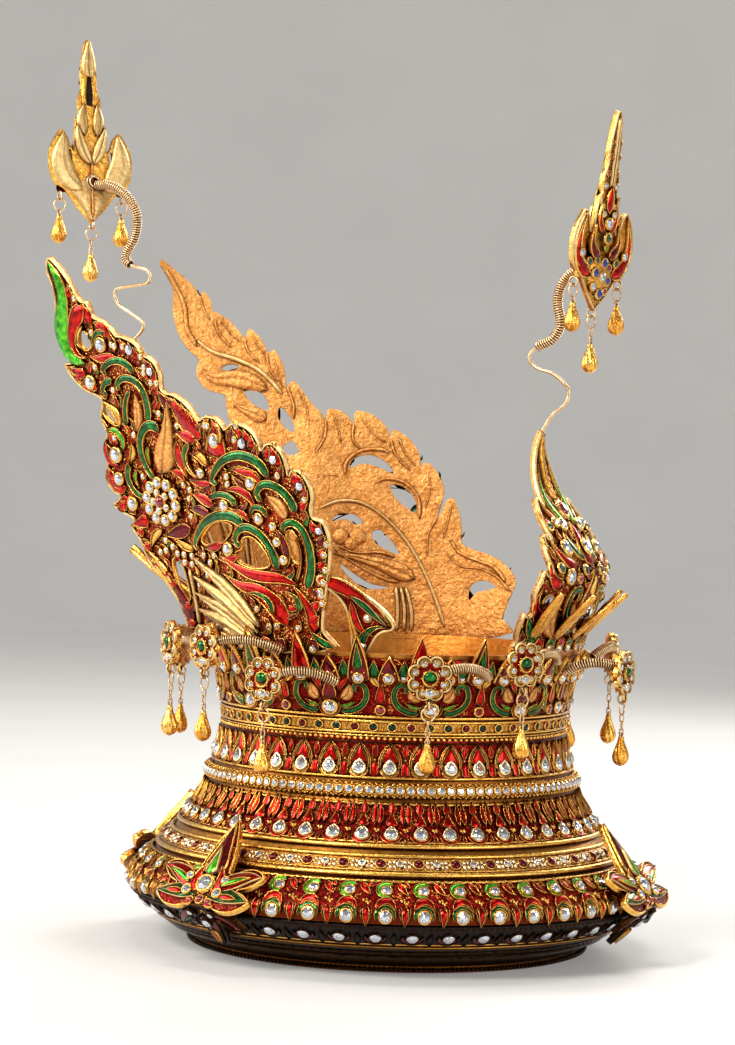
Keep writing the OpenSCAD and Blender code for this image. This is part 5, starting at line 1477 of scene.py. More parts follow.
def flame_surface(lean, hmax, rear):
    lz, lr = (np.array([q[i] for q in lean], float) for i in (0, 1))

    def S(x, z):
        x, z = np.asarray(x, float), np.asarray(z, float)
        y = -(np.interp(z - 5, lz, lr) + 2 * np.interp(z, lz, lr) + np.interp(z + 5, lz, lr)) / 4
        y = y + x * x / 154 * np.clip(1.1 - z / hmax, 0, 1)
        P = np.stack([x, y, 149.4 + z], -1)
        return P * np.array([-1, -1, 1]) if rear else P
    return S


FLAME_HALF = [(40.5, 0.5), (43, 6), (44.6, 13), (44.8, 20), (41.6, 18.4), (40.8, 22), (43.8, 28), (43.6, 34), (41.6, 41), (38, 37.6), (36.9, 41),
              (37.4, 47), (35, 53), (31.6, 58), (28.4, 54), (27.4, 58), (26.4, 65), (23.4, 70.5), (19.6, 75), (16.4, 71), (15, 75), (12.8, 83),
              (10.4, 89), (7.6, 95), (4.4, 101)]


plain_cell = cell


def both(m, draw):
    """Draws a half twice, the second time mirrored."""
    h = Motif()
    draw(h)
    m.join(h)
    m.join(h, mirror=True)


def flame_ornament(k):
    m = Motif()

    def cell(m_, pts, w, kind="leaf", n=12, rim=0.7, hb=0.0, hr=1.3, he=0.55, dome=0.45, gold="gilt", fill="red"):
        """Cell whose enamel is a little broader."""
        plain_cell(m_, pts, w * (1.22 if fill in ("red", "wine", "green") else 1.0), kind, n, rim * 0.85, hb, hr, he, dome, gold, fill)
    Q = lambda pts: [(x, z * k) for x, z in pts]
    # granular stem of the tip, its ruby, and the crystal leaf under it
    rib_leaf(m, Q([(0, 73), (0, 88), (0, 105.5)]), np.interp(np.linspace(0, 1, 20), [0, 0.1, 0.4, 0.8, 1], [1.2, 3.4, 3.2, 2.2, 1.0]), None, 20, 0, 2.6, "grain", 9)
    cell(m, Q([(0, 42), (0, 53), (0, 64)]), 5.4, "ogive", 18, 1.1, 0, 2.4, 1.2, 1.0, "gilt", "red")
    gem(m, 0, 50.5 * k, 2.9, 2.4, wall=0.9)
    gem(m, 0, 68.5 * k, 3.1, 1.6, kind="ruby", wall=1.2, beads=10)
    cell(m, Q([(0, 16), (0, 26), (0, 41)]), 6.6, "flame", 18, 1.0, 0, 2.6, 1.2, 1.0, "gilt", "wine")
    gem(m, 0, 21.5 * k, 2.9, 2.8, wall=0.9)
    rib_leaf(m, Q([(0, 28), (0, 32), (0, 37)]), 2.2, "leaf", 10, 1.8, 1.4, "gilt", 4)

    def half(h):
        cell(h, Q([(3.4, 62), (8.6, 66), (11.2, 73), (9.4, 82), (5.6, 92)]), 3.1, "flame", 20, 0.9, 0, 2.3, 1.1, 0.8, "gilt", "lime")
        gem(h, 10.5, 61.5 * k, 2.2, 1.4, wall=0.8)
        gem(h, 16.6, 62.5 * k, 1.8, 1.4, wall=0.7)
        cell(h, Q([(13, 64), (16.6, 67.5), (19.2, 73)]), 1.8, "flame", 12, 0.5, 0, 1.9, 0.9, 0.5, "gilt", "red")
        cell(h, Q([(5.6, 45), (9.8, 49), (13.4, 54), (14, 59)]), 2.5, "leaf", 16, 0.6, 0, 2.1, 1.0, 0.6, "gilt", "green")
        cell(h, Q([(16, 42), (22.4, 44), (27.6, 49), (30.6, 56)]), 3.2, "flame", 18, 0.9, 0, 2.2, 1.0, 0.7, "gilt", "red")
        gem(h, 19.6, 50.5 * k, 2.7, 1.5, wall=0.9)
        gem(h, 24.2, 60.5 * k, 1.7, 1.2, kind="emerald", wall=0.6)
        gem(h, 9.4, 40.5 * k, 1.8, 1.4, kind="emerald", wall=0.7)
        gem(h, 15.4, 36.8 * k, 1.8, 1.4, kind="ruby", wall=0.7)
        gem(h, 23.2, 37.4 * k, 2.6, 1.4, wall=0.9)
        gem(h, 30.4, 41.4 * k, 1.8, 1.2, kind="emerald", wall=0.7)
        cell(h, Q([(28, 33), (33.6, 35), (37.6, 40), (35.6, 47)]), 2.6, "flame", 16, 0.7, 0, 2.1, 1.0, 0.6, "gilt", "red")
        cell(h, Q([(8.6, 10), (14.6, 14), (19, 22), (18.4, 30), (12.6, 31.6), (11.6, 27.4), (14, 26)]), 1.9, "scroll", 30, 0.6, 0.2, 2.5, 1.4, 0.6, "gilt", "green")
        rib_leaf(h, Q([(9.4, 17), (12.2, 20), (13.4, 25)]), 2.6, "leaf", 12, 0.2, 1.7, "matte", 4)
        rib_leaf(h, Q([(21.6, 8), (27.4, 16), (29, 29)]), 4.6, "leaf", 16, 0.0, 2.0, "matte", 5)
        cell(h, Q([(31, 16), (36.6, 19), (41, 25), (41, 33)]), 2.9, "flame", 18, 0.8, 0, 2.2, 1.0, 0.7, "gilt", "red")
        gem(h, 35.0, 26.5 * k, 2.3, 1.4, wall=0.8)
        cell(h, Q([(26, 5), (33, 8), (38.4, 13), (42.6, 19)]), 2.5, "leaf", 16, 0.7, 0, 2.1, 1.0, 0.6, "gilt", "green")
        cell(h, Q([(35, 3), (39.6, 6.4), (42, 12)]), 1.8, "leaf", 10, 0.5, 0, 1.9, 0.9, 0.5, "gilt", "wine")
        for q, x in enumerate((5.4, 13.6, 21.8, 30.0, 37.8)):
            cell(h, Q([(x - 3, 1.4), (x, 7.4), (x + 3, 2.0)]), 1.7, "leaf", 10, 0.45, 0.6, 2.0, 1.0, 0.5, "gilt", "red" if q % 2 else "green")
            gem(h, x, 2.8 * k, 1.5, 1.4, wall=0.6)
    both(m, half)
    return m


def flame_back(k):
    m = Motif()
    Q = lambda pts: [(x, z * k) for x, z in pts]
    cord_line(m, Q([(0, 2), (0, 40), (0, 80), (0, 104)]), np.interp(np.linspace(0, 1, 30), [0, 1], [1.6, 0.6]), 30, 0, 1.5, "pale", None)

    def half(h):
        rib_leaf(h, Q([(4, 6), (12, 18), (16, 36)]), 5.4, "flame", 18, 0, 1.1, "matte", 5)
        rib_leaf(h, Q([(5, 40), (11, 50), (14, 66)]), 4.6, "flame", 18, 0, 1.1, "matte", 5)
        rib_leaf(h, Q([(20, 6), (28, 18), (34, 35)]), 5.0, "flame", 18, 0, 1.1, "matte", 5)
        rib_leaf(h, Q([(22, 32), (28, 42), (32, 55)]), 4.0, "flame", 16, 0, 1.0, "matte", 5)
        for a, b, c in (((40.8, 22), (33, 15), (29, 5)), ((36.9, 40), (29, 31), (24, 20)), ((27.4, 57), (20, 47), (16, 34)), ((15, 75), (9, 64), (6, 52))):
            cord_line(h, Q([a, b, c]), 0.8, 16, 0, 1.0, "pale", "scroll")
    both(m, half)
    return m


def finger(L):
    """Upper side of a finger: a channelled strip with a dark red inlay and a granular tip; h from its mid plane."""
    m = Motif()
    n = 18
    w = np.interp(np.linspace(0, 1, n), [0, 0.12, 0.55, 0.82, 0.93, 1], [2.4, 3.2, 4.1, 3.4, 2.2, 0.5])
    cell(m, [(0, 0), (0, L * 0.5), (0, L)], w, None, n, 1.2, 0, 1.5, 0.5, 0.5, "gilt", "wine")
    cord_line(m, [(0, 1), (0, L * 0.4), (0, L * 0.8)], 0.55, 16, 0.6, 1.3, "pale")
    grains(m, 0, L * 0.86, 2.2, 3.4, 16, (0.45, 0.8), 0.7, "gilt", 5)
    return m


def finger_under(L):
    m = Motif()
    n = 16
    w = np.interp(np.linspace(0, 1, n), [0, 0.12, 0.55, 0.82, 0.93, 1], [2.4, 3.2, 4.1, 3.4, 2.2, 0.5])
    rib_leaf(m, [(0, 0), (0, L * 0.5), (0, L)], w, None, n, 0, 1.2, "grain", 0)
    cord_line(m, [(0, 2), (0, L * 0.5), (0, L * 0.9)], 0.6, 16, 0.5, 1.0, "gilt")
    return m


def put(motif, node, O, EX, EY, N):
    stamp(motif, node, tuple(np.array([q], float) for q in (O, EX, EY, N)))


def rot_z(deg):
    c, s = cos(math.radians(deg)), sin(math.radians(deg))
    return np.array([[c, -s, 0], [s, c, 0], [0, 0, 1.0]])


def rot_x(deg):
    c, s = cos(math.radians(deg)), sin(math.radians(deg))
    return np.array([[1.0, 0, 0], [0, c, -s], [0, s, c]])


X_, Y_, Z_ = np.eye(3)
for node, lean, k, hmax, rear, fl, low_by in (("front_flame", FRONT_LEAN, 1.0, 108, False, 1.0, 0), ("rear_flame", REAR_LEAN, 1.37, 148, True, 1.7, 8)):
    S = flame_surface(lean, hmax, rear)
    outer = Surf(S, 1)
    inner = Inner(outer, 3.0)
    pts = [(0, 0.5)] + FLAME_HALF + [(0.9, 106.5)]
    pts = [(x, z * k) for x, z in pts] + [(-x, z * k) for x, z in reversed(pts[1:])]
    outline = closed_curve(pts, 3)
    plate(node, outline, [], outer, "ground", "matte", "matte", -0.5, -2.4, 2.6, 1.4)
    m = Motif()
    edge_rim(m, outline, 0.8, 1.8, "pale", -0.8, 0.75)
    wrap(m, node, outer)
    orn = part_inside(flame_ornament(k), outline, (), 0.6)
    orn.join(fill_ground(orn, outline, [], 9))
    wrap(orn, node, outer, -0.5)
    wrap(part_inside(flame_back(k), outline, (), 0.6), node, inner, -0.3)
    base = rot_z(180) if rear else np.eye(3)
    for ang, length, rise in ((0, 34, 40), (11, 38, 44), (-11, 38, 44), (21, 36, 50), (-21, 36, 50)):
        L = length * fl
        M3 = base @ rot_z(-ang)
        O = M3 @ np.array([0, -88.5, 1.5]) + np.array([0, 0, 149.4])
        A = M3 @ rot_x(low_by - rise)
        EY, N = A @ -Y_, A @ Z_
        EX = np.cross(EY, N)
        O = O + N * 1.2
        put(finger(L), node, O, EX, EY, N)
        put(finger_under(L), node, O, -EX, EY, -N)

# ---------------------------------------------------------------- wires, sprays, drops

FRONT_ROUTE = [[-74.2, 256], [-79, 264], [-86, 270], [-87, 277], [-79, 284], [-70, 287], [-66, 292], [-70, 297],
               [-78, 301], [-82, 308], [-80, 319], [-82, 328], [-88, 334], [-97.5, 336]]
REAR_ROUTE = [[161.9, 296], [154, 298], [149, 305], [157, 311], [165, 316], [166, 323], [157, 325], [147, 327],
              [148, 333], [158, 336], [161, 341], [156, 350], [155, 361], [161, 371], [171, 377], [179.6, 377.2]]


def smooth_route(q, m):
    q = np.asarray(q, float)
    n = len(q)
    out = []
    for i in range(n - 1):
        a, b, c, d = q[max(i - 1, 0)], q[i], q[i + 1], q[min(i + 2, n - 1)]
        t = (np.arange(m) / m)[:, None]
        out.append(0.5 * (2 * b + (c - a) * t + (2 * a - 5 * b + 4 * c - d) * t * t + (3 * b - a - 3 * c + d) * t ** 3))
    out.append(q[-1:])
    return np.vstack(out)


def frames_along(p, up):
    t = np.gradient(p, axis=0)
    t /= np.linalg.norm(t, axis=1, keepdims=True) + 1e-12
    a = np.cross(np.tile(np.asarray(up, float), (len(p), 1)), t)
    a /= np.linalg.norm(a, axis=1, keepdims=True) + 1e-12
    return t, a, np.cross(t, a)


def tube(node, key, p, r, sides=8, up=(1, 0, 0), caps=True):
    p = np.asarray(p, float)
    r = np.broadcast_to(np.asarray(r, float), (len(p),))
    t, a, b = frames_along(p, up)
    k = np.arange(sides) * 2 * pi / sides
    P = p[:, None, :] + r[:, None, None] * (a[:, None, :] * np.cos(k)[None, :, None] + b[:, None, :] * np.sin(k)[None, :, None])
    if caps:
        P = np.concatenate([np.repeat(p[:1, None, :], sides, 1), P, np.repeat(p[-1:, None, :], sides, 1)])
    acc(node, key).add(P.reshape(-1, 3), grid_faces(P.shape[0], sides, False, True)[:, ::-1])


def coil(node, key, p, r=2.6, wire=0.55, pitch=1.2, per=14, sides=5, up=(1, 0, 0)):
    """Helix of wire round a route: outer radius r."""
    p = np.asarray(p, float)
    s = np.concatenate([[0], np.cumsum(np.linalg.norm(np.diff(p, axis=0), axis=1))])
    turns = s[-1] / pitch
    n = int(turns * per)
    g = np.linspace(0, s[-1], n)
    c = np.stack([np.interp(g, s, p[:, i]) for i in range(3)], 1)
    t, a, b = frames_along(c, up)
    ph = np.linspace(0, 2 * pi * turns, n)[:, None]
    q = c + (r - wire) * (a * np.cos(ph) + b * np.sin(ph))
    # the section stands across the wire: one axis radial, one along the route
    rad = (q - c) / (r - wire)
    k = np.arange(sides) * 2 * pi / sides
    P = q[:, None, :] + wire * (rad[:, None, :] * np.cos(k)[None, :, None] + t[:, None, :] * np.sin(k)[None, :, None])
    P = np.concatenate([np.repeat(q[:1, None, :], sides, 1), P, np.repeat(q[-1:, None, :], sides, 1)])
    acc(node, key).add(P.reshape(-1, 3), grid_faces(P.shape[0], sides, False, True))


for node, route, bare in (("front_coil_wire", FRONT_ROUTE, 7), ("rear_coil_wire", REAR_ROUTE, 9)):
    p2 = smooth_route(route, 10)
    p = np.stack([0 * p2[:, 0], p2[:, 0], p2[:, 1]], 1)
    cut = bare * 10
    tube(node, "wire", p[:cut + 3], 0.85, 10)
    coil(node, "wire", p[cut:])
    # The dark tube that fills the coil is painted shade of the coil's hollow, seen between the turns.
    tube(node, "umber", p[cut:], 1.75, 8)


def torus(node, key, C, U, V, R, r, n=28, sides=8, M3=None, T=None):
    """Ring of radius R in the plane U, V."""
    U, V = np.asarray(U, float), np.asarray(V, float)
    W = np.cross(U, V)
    a = np.arange(n) * 2 * pi / n
    k = np.arange(sides) * 2 * pi / sides
    d = U[None] * np.cos(a)[:, None] + V[None] * np.sin(a)[:, None]
    P = np.asarray(C, float) + d[:, None, :] * (R + r * np.cos(k))[None, :, None] + W * (r * np.sin(k))[None, :, None]
    P = P.reshape(-1, 3)
    if M3 is not None:
        P = P @ M3.T + T
    acc(node, key).add(P, grid_faces(n, sides, True, True)[:, ::-1])


def turned(node, key, prof, M3, T, segs=24, flutes=0, depth=0.0, twist=0.0):
    """Solid of revolution about local z: prof of (z, r) from the bottom; flutes wind round it."""
    z = np.array([q[0] for q in prof], float)
    r = np.array([q[1] for q in prof], float)
    a = np.arange(segs) * 2 * pi / segs
    A, Zz = np.meshgrid(a, z, indexing="ij")
    rr = np.broadcast_to(r, A.shape)
    if flutes:
        rr = rr * (1 - depth + depth * np.abs(np.cos((A * flutes + Zz * twist) / 2)) ** 0.7)
    P = np.stack([rr * np.cos(A), rr * np.sin(A), Zz], -1).reshape(-1, 3) @ M3.T + T
    acc(node, key).add(P, grid_faces(segs, len(z), True, False))


def drop_piece(node, T, turn, chain, seed=0):
    """Jump ring, links, cap and a fluted teardrop; the origin is the centre of the eye it hangs in."""
    M3 = rot_z(turn)
    T = np.asarray(T, float)
    torus(node, "wire", (0, 0, -4.35), X_, Z_, 3.2, 0.45, 24, 6, M3, T)
    z1 = -7.4
    if chain:
        n = max(1, int(round((chain + 1.6) / 3.4)))
        pitch = (chain + 2.2) / n
        for i in range(n):
            zc = z1 - 0.9 - pitch * (i + 0.5) + 0.6
            k = np.linspace(0, 2 * pi, 15)[:-1]
            a = X_ if i % 2 else Y_
            ring_ = np.array([a * 1.05 * cos(t) + Z_ * (pitch * 0.5 + 0.45) * sin(t) for t in k]) + np.array([0, 0, zc])
            t_ = np.roll(ring_, -1, 0) - np.roll(ring_, 1, 0)
            t_ /= np.linalg.norm(t_, axis=1, keepdims=True)
            w = np.cross(a, Z_)
            n2 = np.cross(t_, w)
            kk = np.arange(6) * 2 * pi / 6
            P = ring_[:, None, :] + 0.36 * (w[None, None, :] * np.cos(kk)[None, :, None] + n2[:, None, :] * np.sin(kk)[None, :, None])
            P = P.reshape(-1, 3) @ M3.T + T
            acc(node, "wire").add(P, grid_faces(14, 6, True, True))
        z2 = -9.4 - chain
        torus(node, "wire", (0, 0, z2 + 0.2), X_, Z_, 1.0, 0.36, 14, 6, M3, T)
    else:
        torus(node, "wire", (0, 0, -8.3), Y_, Z_, 1.25, 0.36, 16, 6, M3, T)
        torus(node, "wire", (0, 0, -9.6), X_, Z_, 0.9, 0.34, 14, 6, M3, T)
    zt = -9.5 - chain
    turned(node, "gilt", [(zt - 2.6, 1.5), (zt - 2.2, 1.75), (zt - 1.5, 1.35), (zt - 1.0, 1.5), (zt - 0.4, 0.95), (zt, 0.8), (zt + 0.2, 0.0)], M3, T, 14)
    D, L = 8.2, 15.0
    zz = np.linspace(0, 1, 22)
    rr = np.interp(zz, [0, 0.012, 0.04, 0.14, 0.3, 0.5, 0.72, 0.92, 1], [0, 0.12, 0.24, 0.42, 0.5, 0.42, 0.26, 0.12, 0.05]) * D
    rr = np.convolve(np.pad(rr, 1, mode="edge"), [0.22, 0.56, 0.22], "valid")
    rr[0] = 0
    turned(node, "gilt" if seed % 2 else "grain", [(zt - L + L * a, b * 1.04) for a, b in zip(zz, rr)], M3, T, 40, 7, 0.2, 0.42)


SPRAY_HALF = [(0.6, -19.4), (8, -12), (14.5, -4), (19.4, -1), (22.5, 3), (24, 11), (23, 19), (19, 26), (16.5, 28.5), (13, 24.5), (12, 21), (9.8, 17),
              (9.2, 22), (8.6, 30), (7.6, 35), (6.0, 36.5), (6.6, 41), (6.2, 46), (4.4, 50.5), (4.6, 57), (4.2, 62), (3.0, 69), (1.4, 76)]


def spray_front():
    m = Motif()
    C = lambda h, *a, **k: cell(h, *a, **k)
    # spike: three bright ridges between granules, stones down its edges
    for x in (-1.15, 0.0, 1.15):
        cord_line(m, [(x * 1.1, 39), (x, 55), (x * 0.5, 74)], 0.6, 22, 1.2, 2.5 - abs(x) * 0.4, "pale", "band")
    C(m, [(0, 27), (0, 33), (0, 41)], 3.0, "leaf", 12, 0.7, 1.2, 2.6, 1.2, 0.8, "gilt", "red")
    gem(m, 0, 22.5, 2.2, 3.2, wall=0.8)
    gem(m, 0, 15.4, 2.0, 3.6, kind="emerald", wall=0.8)
    C(m, [(0, 8.6), (0, 10.6), (0, 13.2)], 1.6, "drop", 10, 0.4, 2.6, 1.6, 0.9, 0.4, "gilt", "lime")
    v, fs = dome_mesh(9.6, 2.4, 24, 4)
    m.part("grain").add(v + np.array([0, -2, 1.2]), fs)
    for x, y, r, kd in ((0.6, 3.4, 2.0, "sapphire"), (-5.6, -1.6, 2.0, "sapphire"), (5.8, -5.0, 1.8, "sapphire"), (0.4, -11.4, 2.1, "sapphire"),
                        (0.2, -3.2, 2.1, "crystal"), (-5.0, -8.2, 1.8, "crystal"), (5.4, 1.2, 1.6, "ruby"), (-4.6, 4.4, 1.5, "emerald"), (4.4, -10.2, 1.3, "ruby")):
        gem(m, x, y, r, 2.2 if abs(x) + abs(y + 2) > 8 else 3.0, kind=kd, wall=0.7)
    grains(m, 0, -2, 9.5, 9.0, 90, (0.4, 0.75), 1.6, "gilt", 12)
    grains(m, 0, -13.5, 3.6, 4.0, 30, (0.35, 0.7), 1.1, "gilt", 14)

    def half(h):
        C(h, [(8, -3), (15.5, 0.5), (20, 8), (19.6, 17), (16.4, 27)], 4.0, "flame", 22, 1.3, 1.0, 2.6, 1.2, 0.8, "gilt", "red")
        cord_line(h, [(13, -1.6), (20.4, 3), (22.8, 11), (21.4, 19), (17.2, 27.4)], 0.7, 26, 1.0, 1.8, "pale", "scroll")
        gem(h, 17.4, 7.5, 1.7, 2.2, wall=0.6)
        C(h, [(3.4, 6), (8.4, 9), (10.6, 14.5), (8.6, 22)], 2.8, "flame", 16, 0.8, 1.6, 3.0, 1.3, 0.8, "gilt", "wine")
        gem(h, 10.8, 3.6, 1.7, 2.2, kind="emerald", wall=0.6)
        C(h, [(2.2, 18), (5.6, 22), (6.4, 28), (4.6, 34)], 2.0, "flame", 14, 0.6, 1.4, 2.4, 1.2, 0.6, "gilt", "red")
        gem(h, 4.2, 26.8, 1.3, 2.4, wall=0.5)
        rib_leaf(h, [(3.0, 29.5), (6.2, 32), (7.8, 36)], 1.9, "flame", 12, 1.0, 1.9, "pale", 3)
        gem(h, 4.2, 40.5, 1.35, 1.2, wall=0.55)
        gem(h, 3.4, 46.5, 1.2, 1.2, kind="ruby", wall=0.5)
        gem(h, 3.1, 54.5, 1.2, 1.2, kind="ruby", wall=0.5)
        gem(h, 2.9, 61.5, 1.0, 1.2, kind="ruby", wall=0.45)
        for q in np.arange(43, 74, 1.5):
            bead(h, 2.9 - (q - 43) * 0.06, q, 0.55, 1.2, "gilt")
    both(m, half)
    return m


def spray_back():
    m = Motif()
    n = 16
    t = np.linspace(0, 1, n)
    rib_leaf(m, [(0, -19), (0, -9), (0, 2)], np.interp(t, [0, 0.35, 0.7, 0.92, 1], [0.8, 6.5, 12.6, 14.5, 9.0]), None, n, 1.0, 1.1, "fan", 0)
    cell(m, [(0, 42), (0, 50), (0, 59)], np.interp(t, [0, 0.3, 0.8, 1], [4.4, 4.8, 4.0, 2.2]), None, n, 3.4, 1.0, 1.3, 0.4, 0.4, "grain", "dark")
    rib_leaf(m, [(0, 57), (0, 66), (0, 76)], np.interp(t, [0, 0.2, 0.5, 1], [2.4, 4.2, 3.6, 0.9]), None, n, 1.0, 1.5, "fan", 0)
    cord_line(m, [(0, -18), (0, 0), (0, 18)], 0.9, 24, 1.2, 1.7, "matte", "scroll")

    def half(h):
        rib_leaf(h, [(6, -3), (13.4, 3), (17.2, 12), (15.6, 27.5)], 6.4, "leaf", 20, 1.0, 1.6, "pale", 0, groove=False)
        rib_leaf(h, [(0.8, 11), (4.2, 17), (6.4, 23), (8.2, 31)], 3.4, "leaf", 18, 1.4, 1.8, "pale", 0)
        rib_leaf(h, [(3.6, 26), (4.6, 34), (3.8, 43)], 3.2, "leaf", 16, 1.0, 1.7, "fan", 0, groove=False)
    both(m, half)
    return m


EYES = [(-18, -6.8), (0, -21), (18, -6.8)]
spray_outline = closed_curve(SPRAY_HALF + [(-x, y) for x, y in reversed(SPRAY_HALF)], 3)
slit = closed_curve([(8.6, 5.5), (10.4, 11), (11.2, 18), (12.6, 17), (12.4, 11), (10.4, 6)], 4)
slits = [slit, slit * np.array([-1, 1])]
for node, at, turn, drops_ in (("front_spray", (0, -100, 335), -15, "front_drop"), ("rear_spray", (0, 183, 377), 147, "rear_drop")):
    M3 = rot_z(turn) @ rot_x(7)
    O = np.array(at, float)
    EX, EY, N = M3 @ X_, M3 @ Z_, M3 @ -Y_
    flat = Surf(lambda x, y, O=O, EX=EX, EY=EY: O + np.asarray(x, float)[..., None] * EX + np.asarray(y, float)[..., None] * EY, 1)
    plate(node, spray_outline, slits, flat, "grain", "grain", "gilt", 1.2, -1.2, 2.2, 0.8)
    m = Motif()
    edge_rim(m, spray_outline, 0.6, 1.1, "pale", 0.7, 0.55)
    for s in (-1, 1):
        v, fs = dome_mesh(2.6, 1.0, 14, 3)
        m.part("gilt").add(v + np.array([s * 17, -2.4, 1.0]), fs)
    wrap(m, node, flat)
    wrap(spray_front(), node, flat)
    put(spray_back(), node, O, -EX, EY, -N)
    # rings and knot of the wire's end
    for R_, h_ in ((3.4, -2.0), (2.6, -3.4)):
        torus(node, "wire", O - EX * 0.4 + N * h_ + EY * 1.5, EX, EY, R_, 0.6, 24, 7)
    # eyes for the drops
    for i, (ex, ey) in enumerate(EYES):
        C0 = O + EX * ex + EY * ey
        torus(node, "wire", C0, N, EY, 2.3, 0.5, 24, 8)
        a = math.radians(turn)
        at_i = np.array(at) + np.array([ex * cos(a) + ey * sin(math.radians(7)) * sin(a), ex * sin(a) - ey * sin(math.radians(7)) * cos(a), ey * cos(math.radians(7))])
        drop_piece(f"{drops_}_{i + 1}", at_i, turn, 5 if i == 1 else 0, i)

# ---------------------------------------------------------------- small flowers and their drops

FLOWERS = [[0, 119, 141, 9], [32, 107, 146, 14], [57, 105, 139, 39], [100, 107, 135, 82], [118, 113, 148, 99], [133, 116, 148, 148.2],
           [180, 119, 141, 171], [-133, 116, 148, -148.2], [-118, 113, 148, -99], [-100, 107, 135, -82], [-57, 105, 139, -39], [-32, 107, 146, -14]]


def flower_motif():
    m = Motif()
    for k in range(8):
        t = pi / 4 * k + pi / 8
        cx, cy = 7.2 * cos(t), 7.2 * sin(t)
        ang = np.linspace(-1.9, 1.9, 9) + t
        for R_, w_, h_, kk in ((3.25, 0.5, 4.0, "pale"), (2.25, 0.36, 3.6, "gilt")):
            cord_line(m, [(cx + R_ * cos(q), cy + R_ * sin(q)) for q in ang], w_, 22, 2.4, h_ - 2.4, kk, "band")
        gem(m, cx + 0.1 * cos(t), cy + 0.1 * sin(t), 1.35, 2.6, wall=0.4, cup=0.9)
        bead(m, 3.9 * cos(t + pi / 8), 3.9 * sin(t + pi / 8), 0.62, 3.2)
        bead(m, 10.2 * cos(t + pi / 8), 10.2 * sin(t + pi / 8), 0.6, 2.4)
    # centre: dark green cabochon over a red crescent
    v, fs = dome_mesh(3.1, 2.2, 20, 5)
    m.part("green").add(v * np.array([1.1, 0.86, 1]) + np.array([0, 0.8, 3.2]), fs)
    cell(m, [(-3.2, -0.6), (-1.9, -2.6), (0, -3.2), (1.9, -2.6), (3.2, -0.6)], 1.1, "leaf", 16, 0.3, 2.8, 1.5, 1.0, 0.5, "gilt", "red")
    P = cup_mesh(3.3, 0.5, 1.6, 22) + np.array([0, 0, 2.8])
    m.part("gilt").add(P.reshape(-1, 3), grid_faces(P.shape[0], P.shape[1], False, True), True, True)
    # crystal and green leaf below
    gem(m, 0, -6.9, 1.9, 3.0, wall=0.7)
    cell(m, [(0, -8.2), (0, -10.8), (0, -14)], 2.0, "flame", 12, 0.55, 1.6, 1.6, 0.9, 0.5, "gilt", "green")
    return m


def flower_back():
    m = Motif()
    for k in range(8):
        t = pi / 4 * k + pi / 8
        rib_leaf(m, [(1.5 * cos(t), 1.5 * sin(t)), (5.5 * cos(t), 5.5 * sin(t)), (10.2 * cos(t), 10.2 * sin(t))], 2.3, "leaf", 10, 0.0, 0.8, "matte", 3)
    v, fs = dome_mesh(2.6, 1.2, 14, 3)
    m.part("matte").add(v, fs)
    return m


flower_m, flower_b = flower_motif(), flower_back()
ang = np.linspace(0, 2 * pi, 97)[:-1]
# eight scallops of radius 3.63 about a circle of radius 7.26
lobe = []
for q in ang:
    d = (q - pi / 8) % (pi / 4) - pi / 8
    b = 7.26 * cos(d)
    lobe.append(b + math.sqrt(max(3.63 ** 2 - (7.26 * sin(d)) ** 2, 0)))
flower_outline = np.stack([np.array(lobe) * np.cos(ang - pi / 8 + pi / 8), np.array(lobe) * np.sin(ang)], 1)
for i, (a, r, z, root) in enumerate(FLOWERS):
    node = f"small_flower_{i + 1}"
    t = math.radians(a)
    er = np.array([-sin(t), -cos(t), 0])
    ex = np.array([cos(t), -sin(t), 0])
    O = er * r + Z_ * z
    flat = Surf(lambda x, y, O=O, EX=ex: O + np.asarray(x, float)[..., None] * EX + np.asarray(y, float)[..., None] * Z_, 1)
    plate(node, flower_outline, [], flat, "field", "matte", "gilt", 3.0, 0.0, 2.4, 0.8)
    put(flower_m, node, O, ex, Z_, er)
    put(flower_b, node, O, -ex, Z_, -er)
    torus(node, "wire", O - Z_ * 12.6 + er * 1.5, er, Z_, 2.3, 0.5, 24, 8)
    # coil that bows out of the band
    ra = math.radians(root)
    s = 1 if a > root else -1
    p0 = np.array([-98.2 * sin(ra), -98.2 * cos(ra)])
    p1 = np.array([-(r + 1) * sin(t), -(r + 1) * cos(t)])
    c = float(np.linalg.norm(p1 - p0))
    b = 6.5
    rr = (c * c / 4 + b * b) / (2 * b)
    mid, d = (p0 + p1) / 2, (p1 - p0) / c
    q = np.array([-d[1], d[0]]) * s
    ctr = mid - q * (rr - b)
    half_ = math.asin(c / 2 / rr)
    mid_a = math.atan2(q[1], q[0])
    # the bow rises by 48 degrees out of level
    lift = math.radians(48)
    qq = np.array([q[0] * cos(lift), q[1] * cos(lift), sin(lift)])
    dd = np.array([-q[1], q[0], 0.0])
    aa = np.linspace(-half_, half_, 40)
    c0 = np.array([mid[0], mid[1], float(z)]) - qq * (rr - b)
    route = c0 + rr * (np.cos(aa)[:, None] * qq + np.sin(aa)[:, None] * dd)
    nn = np.cross(qq, dd)
    coil(node, "wire", route, 2.6, 0.55, 1.2, 10, 4, tuple(nn))
    # The dark tube that fills the coil is painted shade of the coil's hollow, seen between the turns.
    tube(node, "umber", route, 1.75, 8, tuple(nn))
    drop_piece(f"small_drop_{i + 1}", er * (r + 1.5) + Z_ * (z - 12.6), -a, 8, i)

# ---------------------------------------------------------------- ridge ornaments

